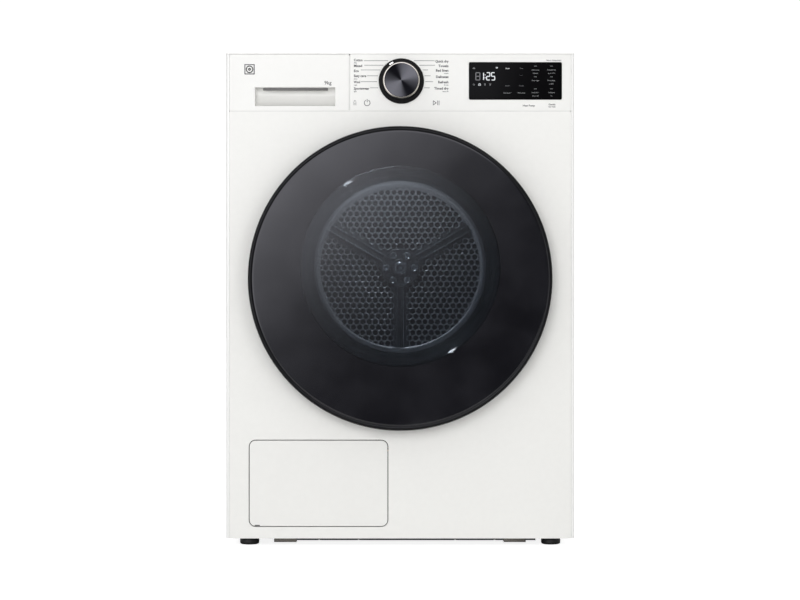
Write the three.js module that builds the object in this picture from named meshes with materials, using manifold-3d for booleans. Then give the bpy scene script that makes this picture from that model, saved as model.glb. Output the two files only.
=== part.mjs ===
// A front-loading heat-pump clothes dryer, in millimetres.
// +Z is up, the front faces -Y, and the origin is on the floor under the cabinet's centre.
import * as THREE from 'three';
import { mergeVertices } from 'three/addons/utils/BufferGeometryUtils.js';
import Module from 'manifold-3d';

const wasm = await Module();
wasm.setup();

// Overall size.
const WIDTH = 600;
const HEIGHT = 850;
const DEPTH = 690;
const DOOR_STAND = 48; // the door's front ahead of the front panel
const DUCT_STAND = 20; // the rear duct cover's depth behind the rear panel
const FOOT_CLEAR = 14; // floor to the cabinet's lower edge

// Sheet and clearances.
const SHEET = 1.5;
const GAP = 0.3; // between pieces that touch
const SEAM = 1.7; // between the visible front pieces
const WALL = 2.5; // plastic wall
const EDGE = 5.2; // width of the side panel's turned front edge

// Control strip, with the tank's front on its left.
const STRIP = 100;
const TANK_SHARE = 213; // cabinet's left face to the seam beside the tank's front
const GRIP_MARGIN = [50, 25]; // the tank front's ends to the grip's
const GRIP_SIZE = [TANK_SHARE - GRIP_MARGIN[0] - GRIP_MARGIN[1], 32];
const DISPLAY_SIZE = [160, 64.4];
const KNOB_R = 39;
const KNOB_GRIP_R = 31.3;
const KNOB_FACE_R = 27.6;
const KNOB_STAND = 25;

// Base.
const BASE_TOP = 190; // nothing in the base stands higher
const HATCH_SIZE = [237.7, 147.5];
const HATCH_INSET = 40.5; // cabinet's left face to the hatch
const HATCH_LOW = 35.2;
const FOOT_R = 16.8;
const FOOT_STEM_R = 5;
const FAN_R = 78;
const MOTOR_R = 55;
const PULLEY_R = 8;
const IDLER_R = 15;
const COMPRESSOR_R = 62;
const ROLLER_R = 18;

const HALF = WIDTH / 2;
const FRONT = -DEPTH / 2 + DOOR_STAND;
const REAR = DEPTH / 2 - DUCT_STAND;
const INNER = HALF - SHEET - GAP;
const FACE_X = HALF - EDGE - GAP;
const ROOF = HEIGHT - SHEET - GAP;
const SEAM_Z = HEIGHT - STRIP;
const TANK_EDGE = -HALF + TANK_SHARE;
const TANK_FLOOR = SEAM_Z + 7;
const FLOOR = FOOT_CLEAR + 3;

// The drum is the largest that fits between the side panels, the base and the tank's tray.
const DRUM_LOW = BASE_TOP + 6;
const DRUM_ROOM = TANK_FLOOR - 3 - DRUM_LOW;
const TRAY_X = TANK_EDGE - 7;
const DRUM_R = Math.floor(Math.min(HALF - 13, (DRUM_ROOM ** 2 + TRAY_X ** 2) / (2 * DRUM_ROOM)));
const AXIS_Z = DRUM_LOW + DRUM_R;
const LIP_R = DRUM_R - 32;
const DRUM_FRONT = FRONT + 57;
const DRUM_REAR = REAR - 35;
const THROAT_R = Math.round(DRUM_R * 0.65);
const BOWL_R = THROAT_R - 14;
const BOWL_DEPTH = 99;

// Door.
const DOOR_R = Math.round(DRUM_R * 0.91);
const DOOR_Z = AXIS_Z - 20;
const DOOR_FRONT = FRONT - DOOR_STAND;
const PLATE_R = DOOR_R - 38.5; // the inner plate's edge
const HINGE_X = DOOR_R - 20;
const HINGE_Y = FRONT - 28;
const LEAF_HALF = Math.floor(Math.sqrt((DOOR_R - 5.5) ** 2 - (HINGE_X + 3) ** 2)) - 1; // clear of the ring
const HOOK_X = -THROAT_R - 23;

const KNOB_Z = SEAM_Z + 51.8;
const DISPLAY_X = HALF - 21.5 - DISPLAY_SIZE[0];
const KNOB_X = TANK_EDGE + 0.433 * (DISPLAY_X - TANK_EDGE);
const HATCH_X = -HALF + HATCH_INSET;
const HATCH_R = 10.5;
const GRIP_X = -HALF + GRIP_MARGIN[0];
const GRIP_Z = SEAM_Z + 9;

// Where the base's pieces stand along the depth.
const along = (share) => FRONT + share * (REAR - FRONT);
const DUCT_X = HATCH_X + HATCH_SIZE[0] + 7.8; // the air duct's inner side
const FAN_X = -HALF + 150;
const FAN_Z = FLOOR + GAP + FAN_R;
const FAN_FRONT = along(0.83);
const FAN_REAR = REAR - 8;
const MOTOR_X = HALF - 105;
const MOTOR_Z = BASE_TOP - MOTOR_R - 20;
const BELT_Y = along(0.53);
const BELT_W = 8;
const BELT_T = 2;
const IDLER_X = MOTOR_X - 65;
const IDLER_Z = MOTOR_Z + 35;
const ARM_X = IDLER_X - 40;
const ARM_Z = IDLER_Z - 25;
const PUMP_X = HALF - 110;
const COMPRESSOR_X = HALF - 108;
const COMPRESSOR_Y = along(0.29);
const ROLLER_ANGLE = 25; // least degrees each side of the drum's lowest point

const ROUND = 48; // facets of a large circle

// Points of a circle.
function circle(a, b, r, count = 24) {
  const points = [];
  for (let i = 0; i < count; i += 1) {
    const turn = (2 * Math.PI * i) / count;
    points.push([a + r * Math.cos(turn), b + r * Math.sin(turn)]);
  }
  return points;
}

function rectangle(a0, a1, b0, b1) {
  return [[a0, b0], [a1, b0], [a1, b1], [a0, b1]];
}

function roundedRectangle(a0, a1, b0, b1, r, steps = 5) {
  const corners = [[a1 - r, b0 + r, -90], [a1 - r, b1 - r, 0], [a0 + r, b1 - r, 90], [a0 + r, b0 + r, 180]];
  const points = [];
  for (const [a, b, start] of corners) {
    for (let i = 0; i <= steps; i += 1) {
      const turn = ((start + (90 * i) / steps) * Math.PI) / 180;
      points.push([a + r * Math.cos(turn), b + r * Math.sin(turn)]);
    }
  }
  return points;
}

// A slot bent round a centre, from one angle to another in degrees.
function sector(a, b, inner, outer, start, end, steps = 8) {
  const points = [];
  const at = (r, i) => {
    const turn = ((start + ((end - start) * i) / steps) * Math.PI) / 180;
    return [a + r * Math.cos(turn), b + r * Math.sin(turn)];
  };
  for (let i = 0; i <= steps; i += 1) points.push(at(outer, i));
  for (let i = steps; i >= 0; i -= 1) points.push(at(inner, i));
  return points;
}

// The line a belt takes round circles in order, counter-clockwise round those with side 1
// and clockwise round those with side -1.
function pathRound(circles) {
  const count = circles.length;
  const headings = circles.map((from, i) => {
    const to = circles[(i + 1) % count];
    const span = Math.hypot(to.a - from.a, to.b - from.b);
    const lean = Math.asin((from.side * from.r - to.side * to.r) / span);
    return Math.atan2(to.b - from.b, to.a - from.a) + lean;
  });
  const points = [];
  circles.forEach((wheel, i) => {
    const arriving = headings[(i + count - 1) % count];
    let turn = headings[i] - arriving;
    while (wheel.side * turn < 0) turn += wheel.side * 2 * Math.PI;
    while (wheel.side * turn > 2 * Math.PI) turn -= wheel.side * 2 * Math.PI;
    const steps = Math.max(4, Math.ceil((Math.abs(turn) / (2 * Math.PI)) * ROUND));
    for (let k = 0; k <= steps; k += 1) {
      const heading = arriving + (turn * k) / steps;
      points.push([
        wheel.a + wheel.side * wheel.r * Math.sin(heading),
        wheel.b - wheel.side * wheel.r * Math.cos(heading),
      ]);
    }
  });
  return points;
}

// A closed solid with its faces turned outwards.
function solid(geometry) {
  const bare = geometry.clone();
  bare.deleteAttribute('normal');
  bare.deleteAttribute('uv');
  const merged = mergeVertices(bare, 1e-4);
  const points = merged.attributes.position.array;
  const corners = [];
  let volume = 0;
  for (let i = 0; i < merged.index.count; i += 3) {
    const [a, b, c] = [0, 1, 2].map((k) => merged.index.array[i + k]);
    if (a !== b && b !== c && c !== a) {
      corners.push(a, b, c);
      const [p, q, r] = [a, b, c].map((v) => new THREE.Vector3().fromArray(points, v * 3));
      volume += p.dot(q.cross(r));
    }
  }
  if (volume < 0) corners.reverse();
  const mesh = new wasm.Mesh({
    numProp: 3,
    vertProperties: new Float32Array(points),
    triVerts: new Uint32Array(corners),
  });
  return new wasm.Manifold(mesh);
}

// A block between two corners.
function block(x0, x1, y0, y1, z0, z1) {
  const geometry = new THREE.BoxGeometry(x1 - x0, y1 - y0, z1 - z0);
  geometry.translate((x0 + x1) / 2, (y0 + y1) / 2, (z0 + z1) / 2);
  return solid(geometry);
}

const columns = (x, y, z) => new THREE.Matrix4().makeBasis(
  new THREE.Vector3(...x),
  new THREE.Vector3(...y),
  new THREE.Vector3(...z),
);

// Where an outline's two directions and its depth go, by the axis it is drawn along.
const PLACED = {
  x: columns([0, 1, 0], [0, 0, 1], [1, 0, 0]),
  y: columns([1, 0, 0], [0, 0, 1], [0, 1, 0]),
  z: columns([1, 0, 0], [0, 1, 0], [0, 0, 1]),
};

// An outline drawn along an axis. It is in YZ for x, in XZ for y and in XY for z.
function prism(axis, outline, from, to, holes = []) {
  const shape = new THREE.Shape(outline.map(([a, b]) => new THREE.Vector2(a, b)));
  const geometry = new THREE.ExtrudeGeometry(shape, { depth: to - from, steps: 1, bevelEnabled: false });
  geometry.translate(0, 0, from);
  geometry.applyMatrix4(PLACED[axis]);
  return holes.reduce((whole, hole) => whole.subtract(prism(axis, hole, from - 1, to + 1)), solid(geometry));
}

// A profile of [radius, height] turned about an axis through (a, b).
function turned(axis, profile, a, b, count = ROUND) {
  const closed = profile[0][0] === 0 ? profile : [...profile, profile[0]];
  const points = closed.map(([r, h]) => new THREE.Vector2(r, h));
  const geometry = new THREE.LatheGeometry(points, count);
  if (axis === 'z') {
    geometry.applyMatrix4(columns([1, 0, 0], [0, 0, 1], [0, 1, 0]));
    geometry.translate(a, b, 0);
  } else {
    geometry.translate(a, 0, b);
  }
  return solid(geometry);
}

// A round bar that follows points, with its corners rounded.
function bar(points, r, bend, steps) {
  const corners = points.map((p) => new THREE.Vector3(...p));
  const path = new THREE.CurvePath();
  let start = corners[0];
  for (let i = 1; i < corners.length - 1; i += 1) {
    const before = corners[i].clone().add(corners[i - 1].clone().sub(corners[i]).setLength(bend));
    const after = corners[i].clone().add(corners[i + 1].clone().sub(corners[i]).setLength(bend));
    path.add(new THREE.LineCurve3(start, before));
    path.add(new THREE.QuadraticBezierCurve3(before, corners[i], after));
    start = after;
  }
  path.add(new THREE.LineCurve3(start, corners[corners.length - 1]));
  const ring = new THREE.Shape(circle(0, 0, r, 8).map(([a, b]) => new THREE.Vector2(a, b)));
  return solid(new THREE.ExtrudeGeometry(ring, { steps, extrudePath: path, bevelEnabled: false }));
}

function joined(shapes) {
  return shapes.reduce((whole, next) => whole.add(next));
}

function piece(name, shape, colour) {
  const mesh = shape.getMesh();
  const geometry = new THREE.BufferGeometry();
  geometry.setAttribute('position', new THREE.BufferAttribute(new Float32Array(mesh.vertProperties), 3));
  geometry.setIndex(new THREE.BufferAttribute(new Uint32Array(mesh.triVerts), 1));
  geometry.computeVertexNormals();
  const node = new THREE.Mesh(geometry, new THREE.MeshStandardMaterial({ color: colour }));
  node.name = name;
  return node;
}

// The tray that everything in the base stands on, with a threaded boss for each foot.
function basePan() {
  const [y0, y1] = [FRONT + 13, REAR - SHEET - GAP];
  const rim = rectangle(-INNER, INNER, y0, y1);
  const inside = rectangle(-INNER + WALL, INNER - WALL, y0 + WALL, y1 - WALL);
  const pan = prism('z', rim, FOOT_CLEAR, FLOOR + 15).subtract(prism('z', inside, FLOOR, FLOOR + 16));
  const bosses = footPlaces().map(([x, y]) => prism('z', circle(x, y, 12, 20), FOOT_CLEAR, FLOOR + 28));
  const threads = footPlaces().map(([x, y]) => (
    prism('z', circle(x, y, FOOT_STEM_R + GAP, 16), FOOT_CLEAR - 1, FLOOR + 29)
  ));
  return joined([pan, ...bosses]).subtract(joined(threads));
}

function footPlaces() {
  const x = HALF - 38;
  return [[-x, FRONT + 45], [x, FRONT + 45], [-x, REAR - 45], [x, REAR - 45]];
}

// One levelling foot: a rubber-shod pad on a threaded stem.
function foot(x, y) {
  const profile = [
    [0, 0], [FOOT_R - 3, 0], [FOOT_R - 0.8, 1], [FOOT_R, 3.2], [FOOT_R, 9], [FOOT_R - 3, FOOT_CLEAR - 1.5],
    [9, FOOT_CLEAR - 0.6], [FOOT_STEM_R, FOOT_CLEAR - 0.6], [FOOT_STEM_R, FLOOR + 26], [0, FLOOR + 26],
  ];
  return turned('z', profile, x, y, 18);
}

// The beam under the base's front edge, with a mounting pad near each end.
function baseBeam() {
  const top = FOOT_CLEAR - GAP;
  const beam = block(-HALF + 82, HALF - 66, FRONT + 14, FRONT + 40, top - 4.2, top);
  const notches = [-HALF + 160, -HALF + 228, HALF - 205, HALF - 137].map((x) => (
    block(x - 1.5, x + 1.5, FRONT + 13, FRONT + 20, top - 5, top - 2)
  ));
  const pads = [[-HALF + 82, -HALF + 121], [HALF - 121, HALF - 83]].map(([x0, x1]) => (
    block(x0, x1, FRONT + 14, FRONT + 34, top - 7.5, top)
  ));
  return joined([beam.subtract(joined(notches)), ...pads]);
}

// A side panel: flat skin with its front edge turned in round a radius, and a flange at the rear.
function sidePanel(side) {
  const r = 4;
  const outline = [[HALF, REAR]];
  for (let i = 0; i <= 5; i += 1) {
    const turn = (-Math.PI / 2) * (i / 5);
    outline.push([HALF - r + r * Math.cos(turn), FRONT + r + r * Math.sin(turn)]);
  }
  outline.push([HALF - EDGE, FRONT], [HALF - EDGE, FRONT + 12], [HALF - EDGE + SHEET, FRONT + 12]);
  outline.push([HALF - EDGE + SHEET, FRONT + SHEET], [HALF - r, FRONT + SHEET], [HALF - SHEET, FRONT + r]);
  outline.push([HALF - SHEET, REAR - SHEET], [HALF - 16, REAR - SHEET], [HALF - 16, REAR]);
  return prism('z', outline.map(([x, y]) => [side * x, y]), FOOT_CLEAR, ROOF);
}

// The worktop sheet with a skirt that drops inside the side panels.
function topPanel() {
  const sheet = prism('z', roundedRectangle(-HALF, HALF, FRONT, REAR, 4), HEIGHT - SHEET, HEIGHT);
  const skirtX = INNER - 1;
  const skirt = prism(
    'z',
    rectangle(-skirtX, skirtX, FRONT + 40, REAR - 4),
    HEIGHT - 12,
    HEIGHT - SHEET,
    [rectangle(-skirtX + SHEET, skirtX - SHEET, FRONT + 40 + SHEET, REAR - 4 - SHEET)],
  );
  return sheet.add(skirt);
}

const SLOT_RADII = [62, 162];

// The rear panel carries the drum's bearing and lets the air through round it.
function rearPanel() {
  const edge = HALF - 16 - GAP;
  const outline = rectangle(-edge, edge, FOOT_CLEAR, ROOF);
  const slots = [];
  for (let i = 0; i < 6; i += 1) {
    slots.push(sector(0, AXIS_Z, SLOT_RADII[0], SLOT_RADII[1], i * 60 + 8, i * 60 + 52));
  }
  const outlet = rectangle(FAN_X - 76, FAN_X - 26, FAN_Z + 26, FAN_Z + 74);
  const gland = circle(...glandPlace(), 11, 20);
  const sheet = prism('y', outline, REAR - SHEET, REAR, [...slots, outlet, gland]);
  const bearing = turned('y', [
    [9.3, REAR - 26], [16, REAR - 26], [18, REAR - 10], [34, REAR - SHEET], [34, REAR], [9.3, REAR],
  ], 0, AXIS_Z, 32);
  const bore = prism('y', circle(0, AXIS_Z, 9.3, 32), REAR - 30, REAR + 5);
  return sheet.subtract(bore).add(bearing);
}

function glandPlace() {
  return [HALF - 70, HEIGHT - 130];
}

// The cover that leads warm air from the fan's outlet up behind the drum.
function rearDuctCover() {
  const outline = (inset) => pathRound([
    { a: 0, b: AXIS_Z, r: 0.69 * DRUM_R - inset, side: 1 },
    { a: FAN_X - 46, b: FAN_Z + 50, r: 52 - inset, side: 1 },
  ]);
  const rise = REAR + DUCT_STAND;
  const body = prism('y', outline(0), REAR + GAP, rise - 6).add(prism('y', outline(7), rise - 6, rise));
  const flange = prism('y', outline(-12), REAR + GAP, REAR + 2);
  const hollow = prism('y', outline(WALL), REAR - 1, rise - 6 - WALL).add(
    prism('y', outline(7 + WALL), rise - 7 - WALL, rise - WALL),
  );
  return body.add(flange).subtract(hollow);
}

// The front panel: sheet with a returned rim, the round opening, the hatch and the catch slot.
function frontPanel() {
  const [z0, z1] = [FOOT_CLEAR, SEAM_Z - SEAM / 2];
  const hatchHole = hatchOutline(1.4, HATCH_R + 1.4);
  const holes = [circle(0, AXIS_Z, THROAT_R + 5, ROUND), hatchHole, catchSlot(0)];
  const sheet = prism('y', rectangle(-FACE_X, FACE_X, z0, z1), FRONT, FRONT + SHEET, holes);
  const rim = prism(
    'y',
    rectangle(-FACE_X, FACE_X, z0, z1),
    FRONT,
    FRONT + 12,
    [rectangle(-FACE_X + SHEET, FACE_X - SHEET, z0 + SHEET, z1 - SHEET)],
  );
  const frame = prism('y', hatchOutline(1.4 + SHEET, HATCH_R + 1.4 + SHEET), FRONT, FRONT + 9, [hatchHole]);
  return joined([sheet, rim, frame]);
}

function hatchOutline(grow, r) {
  return roundedRectangle(
    HATCH_X - grow,
    HATCH_X + HATCH_SIZE[0] + grow,
    HATCH_LOW - grow,
    HATCH_LOW + HATCH_SIZE[1] + grow,
    r,
  );
}

function catchSlot(grow) {
  return rectangle(HOOK_X - 8 - grow, HOOK_X + 7 + grow, DOOR_Z - 20 - grow, DOOR_Z + 20 + grow);
}

// The hatch over the heat exchanger's bay, hinged on its right edge.
function hatch() {
  const face = prism('y', hatchOutline(0, HATCH_R), FRONT, FRONT + 2.2);
  const rim = prism('y', hatchOutline(-3, HATCH_R - 3), FRONT + 1, FRONT + 8, [hatchOutline(-5, HATCH_R - 5)]);
  return face.add(rim);
}

// The sheet behind the front panel that closes the drum's front and carries its rollers.
function frontBulkhead() {
  const y = FRONT + 42;
  const outline = rectangle(-INNER + 12, INNER - 12, BASE_TOP + 3, SEAM_Z - 8);
  const plate = prism('y', outline, y, y + SHEET, [circle(0, AXIS_Z, THROAT_R + 5, ROUND)]);
  const collar = turned('y', [
    [LIP_R - 7, y + 1], [LIP_R - 5, y + 1], [LIP_R - 5, DRUM_FRONT + 9], [LIP_R - 7, DRUM_FRONT + 9],
  ], 0, AXIS_Z);
  const pins = rollerPlaces().map(([x, z]) => prism('y', circle(x, z, 4.7, 16), y + 1, DRUM_FRONT + 16));
  const stays = [-1, 1].map((side) => {
    const [x0, x1] = side < 0 ? [-INNER + 12, -INNER + 13.5] : [INNER - 13.5, INNER - 12];
    return block(x0, x1, FRONT + 13, y + 1, BASE_TOP + 3, SEAM_Z - 8);
  });
  return joined([plate, collar, ...pins, ...stays]);
}

function rollerPlaces() {
  const reach = DRUM_R + ROLLER_R + 0.5;
  const clear = Math.acos((AXIS_Z - ROLLER_R - BASE_TOP + 2) / reach);
  const turn = Math.max((ROLLER_ANGLE * Math.PI) / 180, clear);
  const [x, z] = [reach * Math.sin(turn), AXIS_Z - reach * Math.cos(turn)];
  return [[-x, z], [x, z]];
}

// A grooved support roller that turns on its bulkhead pin.
function roller([x, z]) {
  const y = DRUM_FRONT + 2;
  return turned('y', [
    [5, y], [8, y], [9, y + 2], [ROLLER_R, y + 2], [ROLLER_R, y + 12], [9, y + 12], [8, y + 14], [5, y + 14],
  ], x, z, 18);
}

const FILTER_X = 98.7;
const FILTER_Y = [FRONT + 10, FRONT + 33];
const FILTER_LOW = BASE_TOP + 25;

// The moulded throat between the door and the drum, with the lint filter's socket below it.
function throatRing() {
  const [y0, y1] = [FRONT + SHEET + GAP, DRUM_FRONT + 9];
  const tube = turned('y', [
    [THROAT_R, y0], [THROAT_R + 4, y0], [THROAT_R + 4, y1], [THROAT_R, y1],
  ], 0, AXIS_Z);
  const socketX = FILTER_X + 5;
  const socket = block(-socketX, socketX, FILTER_Y[0] - 4, FILTER_Y[1] + 4, BASE_TOP + 3, AXIS_Z - THROAT_R * 0.8);
  const open = prism('y', circle(0, AXIS_Z, THROAT_R, ROUND), y0 - 1, y1 + 1);
  const pocket = block(
    -FILTER_X - 0.8,
    FILTER_X + 0.8,
    FILTER_Y[0] - 0.8,
    FILTER_Y[1] + 0.8,
    FILTER_LOW - 3,
    AXIS_Z - THROAT_R * 0.5,
  );
  const outlet = block(-FILTER_X + 6, FILTER_X - 6, FILTER_Y[0] + 2, FILTER_Y[1] - 2, BASE_TOP, FILTER_LOW);
  return tube.add(socket).subtract(joined([open, pocket, outlet]));
}

// The lint filter's frame: a pocket open at the top, with windows for its mesh.
function lintFilter() {
  const [y0, y1] = FILTER_Y;
  const top = AXIS_Z - THROAT_R * 0.75;
  const frame = block(-FILTER_X, FILTER_X, y0, y1, FILTER_LOW, top);
  const cleared = prism('y', circle(0, AXIS_Z, THROAT_R + 0.4, ROUND), y0 - 1, y1 + 1);
  const pocket = block(-FILTER_X + 4, FILTER_X - 4, y0 + 3, y1 - 3, FILTER_LOW + 4, top + 1);
  const windows = [-1, 0, 1].map((i) => (
    block(i * 62 - 27, i * 62 + 27, y0 - 1, y1 + 1, FILTER_LOW + 10, FILTER_LOW + 66)
  ));
  return frame.subtract(joined([cleared, pocket, ...windows]));
}

// The catch behind the front panel that holds the door's hook.
function doorCatch() {
  const [x0, x1] = [HOOK_X - 12, HOOK_X + 10];
  const body = block(x0, x1, FRONT + SHEET + GAP, FRONT + 32, DOOR_Z - 26, DOOR_Z + 26);
  return body.subtract(prism('y', catchSlot(-0.5), FRONT, FRONT + 29));
}

// The drum's wall, with its front edge rolled in to a lip.
function drumShell() {
  const [y0, y1, t] = [DRUM_FRONT, DRUM_REAR, 1.2];
  return turned('y', [
    [LIP_R, y0], [DRUM_R - 6, y0], [DRUM_R - 1.8, y0 + 1.8], [DRUM_R, y0 + 6], [DRUM_R, y1], [DRUM_R - t, y1],
    [DRUM_R - t, y0 + 6], [DRUM_R - 2.6, y0 + 2.8], [DRUM_R - 6, y0 + t], [LIP_R + t, y0 + t],
    [LIP_R + t, y0 + 9], [LIP_R, y0 + 9],
  ], 0, AXIS_Z);
}

// The drum's back: dished sheet with a hub, three pressed arms and the shaft.
function drumBack() {
  const y = DRUM_REAR - 12;
  const rim = DRUM_R - 1.2 - GAP - 0.5;
  const disc = turned('y', [
    [0, y - 8], [24, y - 8], [34, y - 3], [40, y], [0.58 * DRUM_R, y], [0.61 * DRUM_R, y + 6],
    [rim - 22, y + 6], [rim - 12, y - 2], [rim, y - 2], [rim, y], [rim - 11, y], [rim - 21, y + 8],
    [0.605 * DRUM_R, y + 8], [0.575 * DRUM_R, y + 2], [30, y + 2], [9, y + 10], [9, REAR - 1], [0, REAR - 1],
  ], 0, AXIS_Z);
  const arms = [30, 150, 270].map((angle) => {
    const turn = (angle * Math.PI) / 180;
    const [c, s] = [Math.cos(turn), Math.sin(turn)];
    const outline = rectangle(30, 0.55 * DRUM_R, -6, 6).map(([a, b]) => [a * c - b * s, AXIS_Z + a * s + b * c]);
    return prism('y', outline, y - 4, y + 1);
  });
  return joined([disc, ...arms]);
}

// A hollow lifter bar on the drum's wall, at an angle in degrees.
function lifter(angle) {
  const inside = DRUM_R - 1.2 - GAP - 0.4;
  const section = (foot, crest, height, low) => {
    const points = [];
    for (let i = -2; i <= 2; i += 1) {
      const turn = ((angle + (foot * i) / 2) * Math.PI) / 180;
      points.push([low * Math.cos(turn), AXIS_Z + low * Math.sin(turn)]);
    }
    for (const share of [1, 0.55, -0.55, -1]) {
      const turn = ((angle + crest * share) * Math.PI) / 180;
      const r = low - height * (Math.abs(share) === 1 ? 0.86 : 1);
      points.push([r * Math.cos(turn), AXIS_Z + r * Math.sin(turn)]);
    }
    return points;
  };
  const [y0, y1] = [DRUM_FRONT + 24, DRUM_REAR - 24];
  const body = prism('y', section(7.5, 3.6, 48, inside), y0, y1);
  return body.subtract(prism('y', section(6.7, 2.9, 46, inside + 1), y0 + 3, y1 - 3));
}

const BELT_WHEELS = [
  { a: 0, b: AXIS_Z, r: DRUM_R, side: 1 },
  { a: IDLER_X, b: IDLER_Z, r: IDLER_R, side: -1 },
  { a: MOTOR_X, b: MOTOR_Z, r: PULLEY_R, side: 1 },
];

// The belt runs round the drum and the motor's pulley, and over the idler's back.
function drumBelt() {
  const clear = 0.8;
  const line = (inner) => pathRound(BELT_WHEELS.map((wheel) => {
    const near = (wheel.side > 0) === inner;
    return { ...wheel, r: wheel.r + clear + (near ? 0 : BELT_T) };
  }));
  return prism('y', line(false), BELT_Y - BELT_W / 2, BELT_Y + BELT_W / 2, [line(true)]);
}

// The motor's pulley on its shaft.
function motorPulley() {
  const y = BELT_Y;
  return turned('y', [
    [0, y - 8], [PULLEY_R + 3, y - 8], [PULLEY_R + 3, y - 6], [PULLEY_R, y - 5], [PULLEY_R, y + 5],
    [PULLEY_R + 3, y + 6], [PULLEY_R + 3, y + 8], [6, y + 8], [6, y + 40], [0, y + 40],
  ], MOTOR_X, MOTOR_Z, 18);
}

// The plate that holds the motor and the idler arm's pivot.
function motorMount() {
  const y = BELT_Y + 13;
  const outline = [
    [ARM_X - 12, FLOOR + GAP], [MOTOR_X + 62, FLOOR + GAP], [MOTOR_X + 62, MOTOR_Z + 30],
    [MOTOR_X + 25, MOTOR_Z + 56], [MOTOR_X - 25, MOTOR_Z + 56], [MOTOR_X - 50, ARM_Z - 20], [ARM_X + 12, ARM_Z + 9],
    [ARM_X - 12, ARM_Z + 9],
  ];
  const plate = prism('y', outline, y, y + 3, [circle(MOTOR_X, MOTOR_Z, 20, 24)]);
  const foot = block(ARM_X - 12, MOTOR_X + 62, y, y + 40, FLOOR + GAP, FLOOR + GAP + 3);
  const pivot = prism('y', circle(ARM_X, ARM_Z, 4.7, 16), y - 8, y + 1);
  return joined([plate, foot, pivot]);
}

// The drum's motor: a can with end bells, bored for the shaft.
function drumMotor() {
  const y = BELT_Y + 13 + 3 + GAP;
  return turned('y', [
    [6.4, y], [19, y], [22, y + 4], [40, y + 4], [MOTOR_R, y + 14], [MOTOR_R, y + 88], [40, y + 100],
    [20, y + 102], [0, y + 102], [0, y + 40], [6.4, y + 40],
  ].reverse(), MOTOR_X, MOTOR_Z, 24);
}

// The sprung arm that carries the idler pulley.
function idlerArm() {
  const y = BELT_Y + 9;
  const run = pathRound([
    { a: ARM_X, b: ARM_Z, r: 9, side: 1 },
    { a: IDLER_X, b: IDLER_Z, r: 8, side: 1 },
  ]);
  const arm = prism('y', run, y, y + 3, [circle(ARM_X, ARM_Z, 5, 16)]);
  return arm.add(prism('y', circle(IDLER_X, IDLER_Z, 3.7, 16), y - 15, y + 1));
}

function idlerPulley() {
  const y = BELT_Y;
  return turned('y', [
    [4, y - 6], [IDLER_R + 2, y - 6], [IDLER_R + 2, y - 5], [IDLER_R, y - 4.6], [IDLER_R, y + 4.6],
    [IDLER_R + 2, y + 5], [IDLER_R + 2, y + 6], [4, y + 6],
  ], IDLER_X, IDLER_Z, 18);
}

// A finned heat exchanger as a comb of fins on a foot bar.
function exchanger(y0, y1) {
  const [x0, x1] = [HATCH_X - 2, DUCT_X - 22];
  const pitch = 9;
  const count = Math.floor((x1 - x0) / pitch);
  const outline = [[x0, FLOOR + GAP], [x0 + count * pitch - 4.6, FLOOR + GAP]];
  for (let i = count - 1; i >= 0; i -= 1) {
    const x = x0 + i * pitch;
    outline.push([x + 2.4, BASE_TOP - 16], [x, BASE_TOP - 16]);
    if (i > 0) outline.push([x, FLOOR + 8], [x - 4.6, FLOOR + 8]);
  }
  return prism('y', outline, y0, y1);
}

// The cover that keeps the air on its way through the exchangers to the fan.
function exchangerCover() {
  const [x0, x1, y0, y1] = [-HALF + 14, DUCT_X, FRONT + 16, FAN_FRONT - 1];
  const [wide, deep, top] = [FILTER_X + 9, FRONT + 72, BASE_TOP - 4];
  const outer = block(x0, x1, y0, y1, FLOOR + GAP, top).add(block(x0, wide, y0, deep, FLOOR + GAP, top));
  const inner = block(x0 + WALL, x1 - WALL, y0 - 1, y1 - WALL, FLOOR, top - WALL).add(
    block(x0 + WALL, wide - WALL, y0 - 1, deep - WALL, FLOOR, top - WALL),
  );
  const inlet = block(-FILTER_X + 6, FILTER_X - 6, FILTER_Y[0] + 2, FILTER_Y[1] - 2, top - 5, top + 1);
  const outlet = prism('y', circle(FAN_X, FAN_Z, 46, 32), y1 - 5, y1 + 1);
  const pipeHole = prism('x', circle(PIPE.y, PIPE.z, 6, 12), x1 - 5, x1 + 1);
  return outer.subtract(joined([inner, inlet, outlet, pipeHole]));
}

const EVAPORATOR_Y = [along(0.14), along(0.27)];
const CONDENSER_Y = [along(0.31), along(0.49)];

const PIPE = { y: along(0.4), z: 150 };

// The refrigerant pipe from the condenser's end to the compressor's side.
function refrigerantPipe() {
  const { y, z } = PIPE;
  const end = COMPRESSOR_Y + 22;
  return bar([
    [DUCT_X - 20, y, z],
    [DUCT_X + 35, y, z],
    [DUCT_X + 55, end, z],
    [COMPRESSOR_X - COMPRESSOR_R + 3, end, z],
  ], 4, 14, 18);
}

function compressor() {
  const r = COMPRESSOR_R;
  const can = turned('z', [
    [0, FLOOR + GAP], [r + 8, FLOOR + GAP], [r + 8, FLOOR + 4], [r - 8, FLOOR + 4], [r - 8, FLOOR + 10],
    [r, FLOOR + 22], [r, BASE_TOP - 42], [r - 10, BASE_TOP - 26], [30, BASE_TOP - 20], [0, BASE_TOP - 18],
  ], COMPRESSOR_X, COMPRESSOR_Y, 24);
  return can.add(prism('z', circle(COMPRESSOR_X, COMPRESSOR_Y, 16, 16), BASE_TOP - 22, BASE_TOP - 10));
}

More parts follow.
